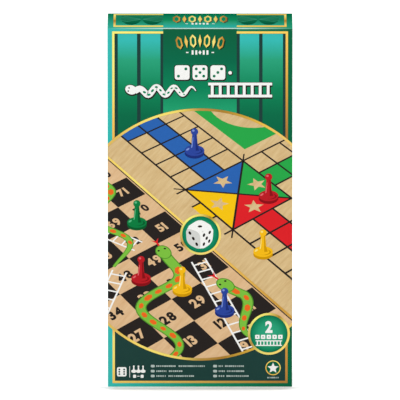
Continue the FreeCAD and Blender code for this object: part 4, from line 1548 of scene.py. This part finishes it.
leaflet = {
    "half": 54.9,
    "front": -16.0,
    "rear": -15.2,
    "low": 3.9,
    "height": 160.0,
    "thick": 0.26,
    "inset": 0.15,
    "bend": 0.24,
    "skin": 0.022,
    "ground": [("pine", 1, frameBars(5.0, 5.0, 104.8, 155.0, 0.5)), ("pine", 1, [bar(8.0, 136.0, 101.8, 151.0)])],
    "dice": [((18.0, 143.5), 1), ((36.0, 143.5), 2), ((54.9, 143.5), 3), ((73.0, 143.5), 5), ((91.0, 143.5), 6)],
    "pictures": (("ladders", "tileWood", 9.0), ("ludo", "boardWood", 57.0)),
    "picture": (86.0, 44.0),    # lower edge and size of the small boards
    "text": {"high": 80.0, "pitch": 5.8, "lengths": (44.0, 26.0), "height": 1.5, "dashes": 7},
}
leafPaper = paperMaterial("leafPaper", "#F0EDE4", gloss=0.65, mottle=0.05, shine=0.2)


def makeLeaflet():
    half, face, low, inset = leaflet["half"], leaflet["front"], leaflet["low"], leaflet["inset"]
    path = foldPath(inset - half, half, face + inset, leaflet["rear"] - inset, leaflet["bend"], 4)
    strip = foldedStrip(path, leaflet["thick"], low, low + leaflet["height"], 4)
    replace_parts(newPiece("leaflet", strip, [leafPaper], "leaflet", "leaflet_paper"), "rules_leaflet")
    sheet = newPrint((-half, face + leaflet["skin"], low), toRight, toTop, 0.0026)
    stampAll(sheet, leaflet["ground"])
    printDice(sheet, leaflet["dice"], 10.0, 2, pipInk="pine")
    for kind, wood, left in leaflet["pictures"]:
        printSmallBoard(sheet, kind, wood, 1, left, *leaflet["picture"])
    for _, _, left in leaflet["pictures"]:
        stamp(sheet, "shade", 1, textShapes("shade", left, range(int(left), int(left) + 12), **leaflet["text"]))
    finishPrint("leafletPrint", sheet, "leaflet", "leaflet_paper")


makeLeaflet()
print("leaflet made")


# Tray, formed from one sheet: its face is drawn back a little, so that ribs can stand on it

tray = {
    "face": -0.0148,            # what lies in front of this is the face
    "drawnBack": -0.0145,
    "round": 0.00035,
    "ribs": {"Rib Length": 0.052, "Rib Width": 0.0036, "Rib Height": 0.00045, "Pitch Z": 0.0625},
    "ribPlace": (0.049, 0.135),
}
traySheet = plasticMaterial("traySheet", "#E6E6E2", 0.42, relief=0.08)


def makeTray():
    formed = bmesh.new()
    formed.from_mesh(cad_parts["tray"].data)
    bmesh.ops.remove_doubles(formed, verts=formed.verts[:], dist=2e-6)
    flat = math.radians(0.5)
    bmesh.ops.dissolve_limit(formed, angle_limit=flat, verts=formed.verts[:], edges=formed.edges[:])
    for vert in formed.verts:
        if vert.co.y < tray["face"]:
            vert.co.y = tray["drawnBack"]
    bmesh.ops.recalc_face_normals(formed, faces=formed.faces[:])
    smoothByAngle(formed, 30)
    for face in formed.faces:
        face.material_index = 0
    piece = newPiece("formedTray", formed, [traySheet], "base", "tray_sheet")
    bevel = piece.modifiers.new("bevel", "BEVEL")
    bevel.width, bevel.segments, bevel.angle_limit = tray["round"], 2, math.radians(50)
    bevelled = plainMesh(piece)
    piece.modifiers.clear()
    piece.data = bevelled
    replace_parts(piece, "tray")
    across, height = tray["ribPlace"]
    for name, way in (("trayRibsLeft", -1), ("trayRibsRight", 1)):
        mesh = grow("ribs", {**tray["ribs"], "Material": traySheet})
        mesh.transform(Matrix.Translation((way * across, tray["drawnBack"], height)))
        ribs = bmesh.new()
        ribs.from_mesh(mesh)
        newPiece(name, ribs, [traySheet], "base", "tray_sheet")


makeTray()
print("tray made")


# Pawns and die

pawn = {
    "height": 26.0,
    "neck": 1.55,
    "head": 2.45,
    "steps": 64,
    "shrink": 0.999,            # keeps the turned shape inside the solid's box
    "finish": {"roughness": 0.26, "shine": 0.35, "depth": 0.04},
    "colours": {"red": "#C81E24", "blue": "#2340A8", "green": "#0E8A48", "yellow": "#F8BE10"},
}


def turnedShape(profile, steps):            # profile of (radius, height), from the axis and back to it
    shape, rings = bmesh.new(), []
    turns = [2 * math.pi * step / steps for step in range(steps)]
    for radius, height in profile:
        if radius < 1e-6:
            rings.append([shape.verts.new((0, 0, height))] * steps)
        else:
            spots = [(radius * math.cos(turn), radius * math.sin(turn), height) for turn in turns]
            rings.append([shape.verts.new(spot) for spot in spots])
    for one, two in zip(rings, rings[1:]):
        for step in range(steps):
            following = (step + 1) % steps
            corners = [one[step], one[following], two[following], two[step]]
            shape.faces.new(list(dict.fromkeys(corners)))
    bmesh.ops.recalc_face_normals(shape, faces=shape.faces[:])
    return shape


def arcBetween(start, end, radius, steps):  # radius over 0 bulges outwards
    a, b = Vector(start), Vector(end)
    chord = b - a
    side = Vector((-chord.y, chord.x)) / chord.length
    drop = math.sqrt(radius ** 2 - (chord.length / 2) ** 2)
    centre = (a + b) / 2 + side * (drop if radius > 0 else -drop)
    first, last = (math.atan2(spot.y - centre.y, spot.x - centre.x) for spot in (a, b))
    turn = (last - first + math.pi) % (2 * math.pi) - math.pi
    angles = [first + turn * step / steps for step in range(steps + 1)]
    return [(centre.x + abs(radius) * math.cos(angle), centre.y + abs(radius) * math.sin(angle)) for angle in angles]


def pawnProfile():
    neck, head, crown = pawn["neck"], pawn["head"], pawn["height"]
    middle = crown - head
    chin = middle - math.sqrt(head ** 2 - neck ** 2)
    profile = [(0, 0.35), (5.6, 0.35), (6.1, 0.0)]
    profile += arcBetween((7.0, 0), (7.5, 0.5), 0.5, 4)
    profile += arcBetween((7.5, 2.2), (7.08, 2.86), 0.6, 4)
    profile += arcBetween((7.0, 2.9), (3.0, 5.0), 8.0, 8)[1:]
    profile += arcBetween((3.0, 5.0), (neck, chin), -60.0, 12)[1:]
    start = math.asin((chin - middle) / head)
    angles = [start + (math.pi / 2 - start) * step / 12 for step in range(1, 12)]
    return profile + [(head * math.cos(angle), middle + head * math.sin(angle)) for angle in angles] + [(0, crown)]


def makePawns():
    profile = pawnProfile()
    for colour, code in pawn["colours"].items():
        material = plasticMaterial(colour + "Plastic", code, **pawn["finish"])
        for number in range(1, 5):
            name = f"pawn_{colour}_{number}"
            low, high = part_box(name)
            shape = turnedShape(profile, pawn["steps"])
            smoothByAngle(shape, 40)
            middle = Vector(((low.x + high.x) / 2, (low.y + high.y) / 2, low.z))
            place = Matrix.Translation(middle) @ Matrix.Scale(mm * pawn["shrink"], 4)
            bmesh.ops.transform(shape, matrix=place, verts=shape.verts[:])
            shown = f"pawn{colour.title()}{number}"
            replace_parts(newPiece(shown, shape, [material], name, f"{colour}_plastic"), name)


die = {
    "nearSide": 1e-5,           # a flat face lies this near to the cube's side
    "margin": 0.0021,           # the hollows of the pips stay this far from the edges
}


def makeDie():
    ivory = plasticMaterial("diePlastic", "#F4F3EE", 0.2, depth=0.2)
    paint = plasticMaterial("pipPaint", "#17181A", 0.45)
    cube = bmesh.new()
    cube.from_mesh(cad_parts["die"].data)
    bmesh.ops.remove_doubles(cube, verts=cube.verts[:], dist=1e-6)
    low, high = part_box("die")
    middle, half = (low + high) / 2, (high.x - low.x) / 2
    for face in cube.faces:
        _, second, reach = sorted(abs(part) for part in face.calc_center_median() - middle)
        flat = max(abs(part) for part in face.normal) > 0.999 and abs(reach - half) < die["nearSide"]
        face.material_index = int(not flat and second < half - die["margin"] and reach < half - 1e-6)
    smoothByAngle(cube, 30)
    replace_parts(newPiece("pippedDie", cube, [ivory, paint], "die", "die_plastic"), "die")


makePawns()
makeDie()
print("pawns and die made")


# Stage: pale floor, white surroundings, soft light

stage = {
    "floorSize": 3.0,
    "tones": ((0.93, 0.93, 0.93, 1), (0.96, 0.96, 0.96, 1)),
    "glow": 0.62,               # the floor's own light, which makes it white away from the box
    "contact": 0.0135,          # reach of the shadow under the box
    "contactPower": 8.5,
    "world": 0.72,
    "lamps": {                  # place, aim, size and watts
        "keyLamp": ((-0.9, -1.9, 1.5), (0, 0, 0.13), (1.4, 1.0), 9),
        "fillLamp": ((1.3, -1.6, 0.7), (0, 0, 0.13), (1.0, 1.2), 4),
        "topLamp": ((0.1, 0.2, 1.9), (0, 0, 0.2), (1.2, 1.0), 2.5),
    },
}


def seenRays(tree):         # 1 for what the camera sees, straight, mirrored or through glass
    rays = addNode(tree, "ShaderNodeLightPath")
    seen = calc(tree, "MAXIMUM", rays["Is Camera Ray"], rays["Is Glossy Ray"])
    return calc(tree, "MAXIMUM", seen, rays["Is Transmission Ray"])


def makeFloor():
    floor = bmesh.new()
    bmesh.ops.create_grid(floor, x_segments=1, y_segments=1, size=stage["floorSize"])
    bmesh.ops.recalc_face_normals(floor, faces=floor.faces[:])
    mesh = bpy.data.meshes.new("floor")
    floor.to_mesh(mesh)
    floor.free()
    material, tree, shader = newMaterial("floorPaper")
    tone = blendColours(tree, noise(tree, objectPlace(tree), 4.0), *stage["tones"])
    feed(tree, shader, {"Base Color": tone, "Roughness": 0.7, "Specular IOR Level": 0.1})
    contact = addNode(tree, "ShaderNodeAmbientOcclusion", {"Distance": stage["contact"]}, samples=16)["AO"]
    pale = calc(tree, "MAXIMUM", calc(tree, "POWER", contact, stage["contactPower"]), along(tree, toBack, -26, -22))
    strength = calc(tree, "MULTIPLY", seenRays(tree), calc(tree, "MULTIPLY", pale, stage["glow"]))
    glow = addNode(tree, "ShaderNodeEmission", {"Color": (1, 1, 1, 1), "Strength": strength})[0]
    paper = tree.nodes["Principled BSDF"].outputs[0]
    shown = addNode(tree, "ShaderNodeAddShader", {0: paper, 1: glow})[0]
    feed(tree, tree.nodes["Material Output"].inputs, {0: shown})
    mesh.materials.append(material)
    piece = bpy.data.objects.new("floor", mesh)
    scene.collection.objects.link(piece)


def makeWorld():
    scene.world = bpy.data.worlds.new("world")
    scene.world.use_nodes = True
    tree = scene.world.node_tree
    light = tree.nodes["Background"]
    feed(tree, light.inputs, {"Color": (1, 1, 1, 1), "Strength": stage["world"]})
    white = addNode(tree, "ShaderNodeBackground", {"Color": (1, 1, 1, 1), "Strength": 1.0})[0]
    mixed = addNode(tree, "ShaderNodeMixShader", {0: seenRays(tree), 1: light.outputs[0], 2: white})[0]
    feed(tree, tree.nodes["World Output"].inputs, {0: mixed})


def addLamp(name, place, aim, size, watts):
    lamp = bpy.data.lights.new(name, "AREA")
    lamp.shape, lamp.energy = "RECTANGLE", watts
    lamp.size, lamp.size_y = size
    holder = bpy.data.objects.new(name, lamp)
    holder.location = place
    holder.rotation_euler = (Vector(aim) - Vector(place)).to_track_quat("-Z", "Y").to_euler()
    scene.collection.objects.link(holder)


makeFloor()
makeWorld()
for name, facts in stage["lamps"].items():
    addLamp(name, *facts)
scene.view_settings.view_transform = "Standard"
print("stage set")
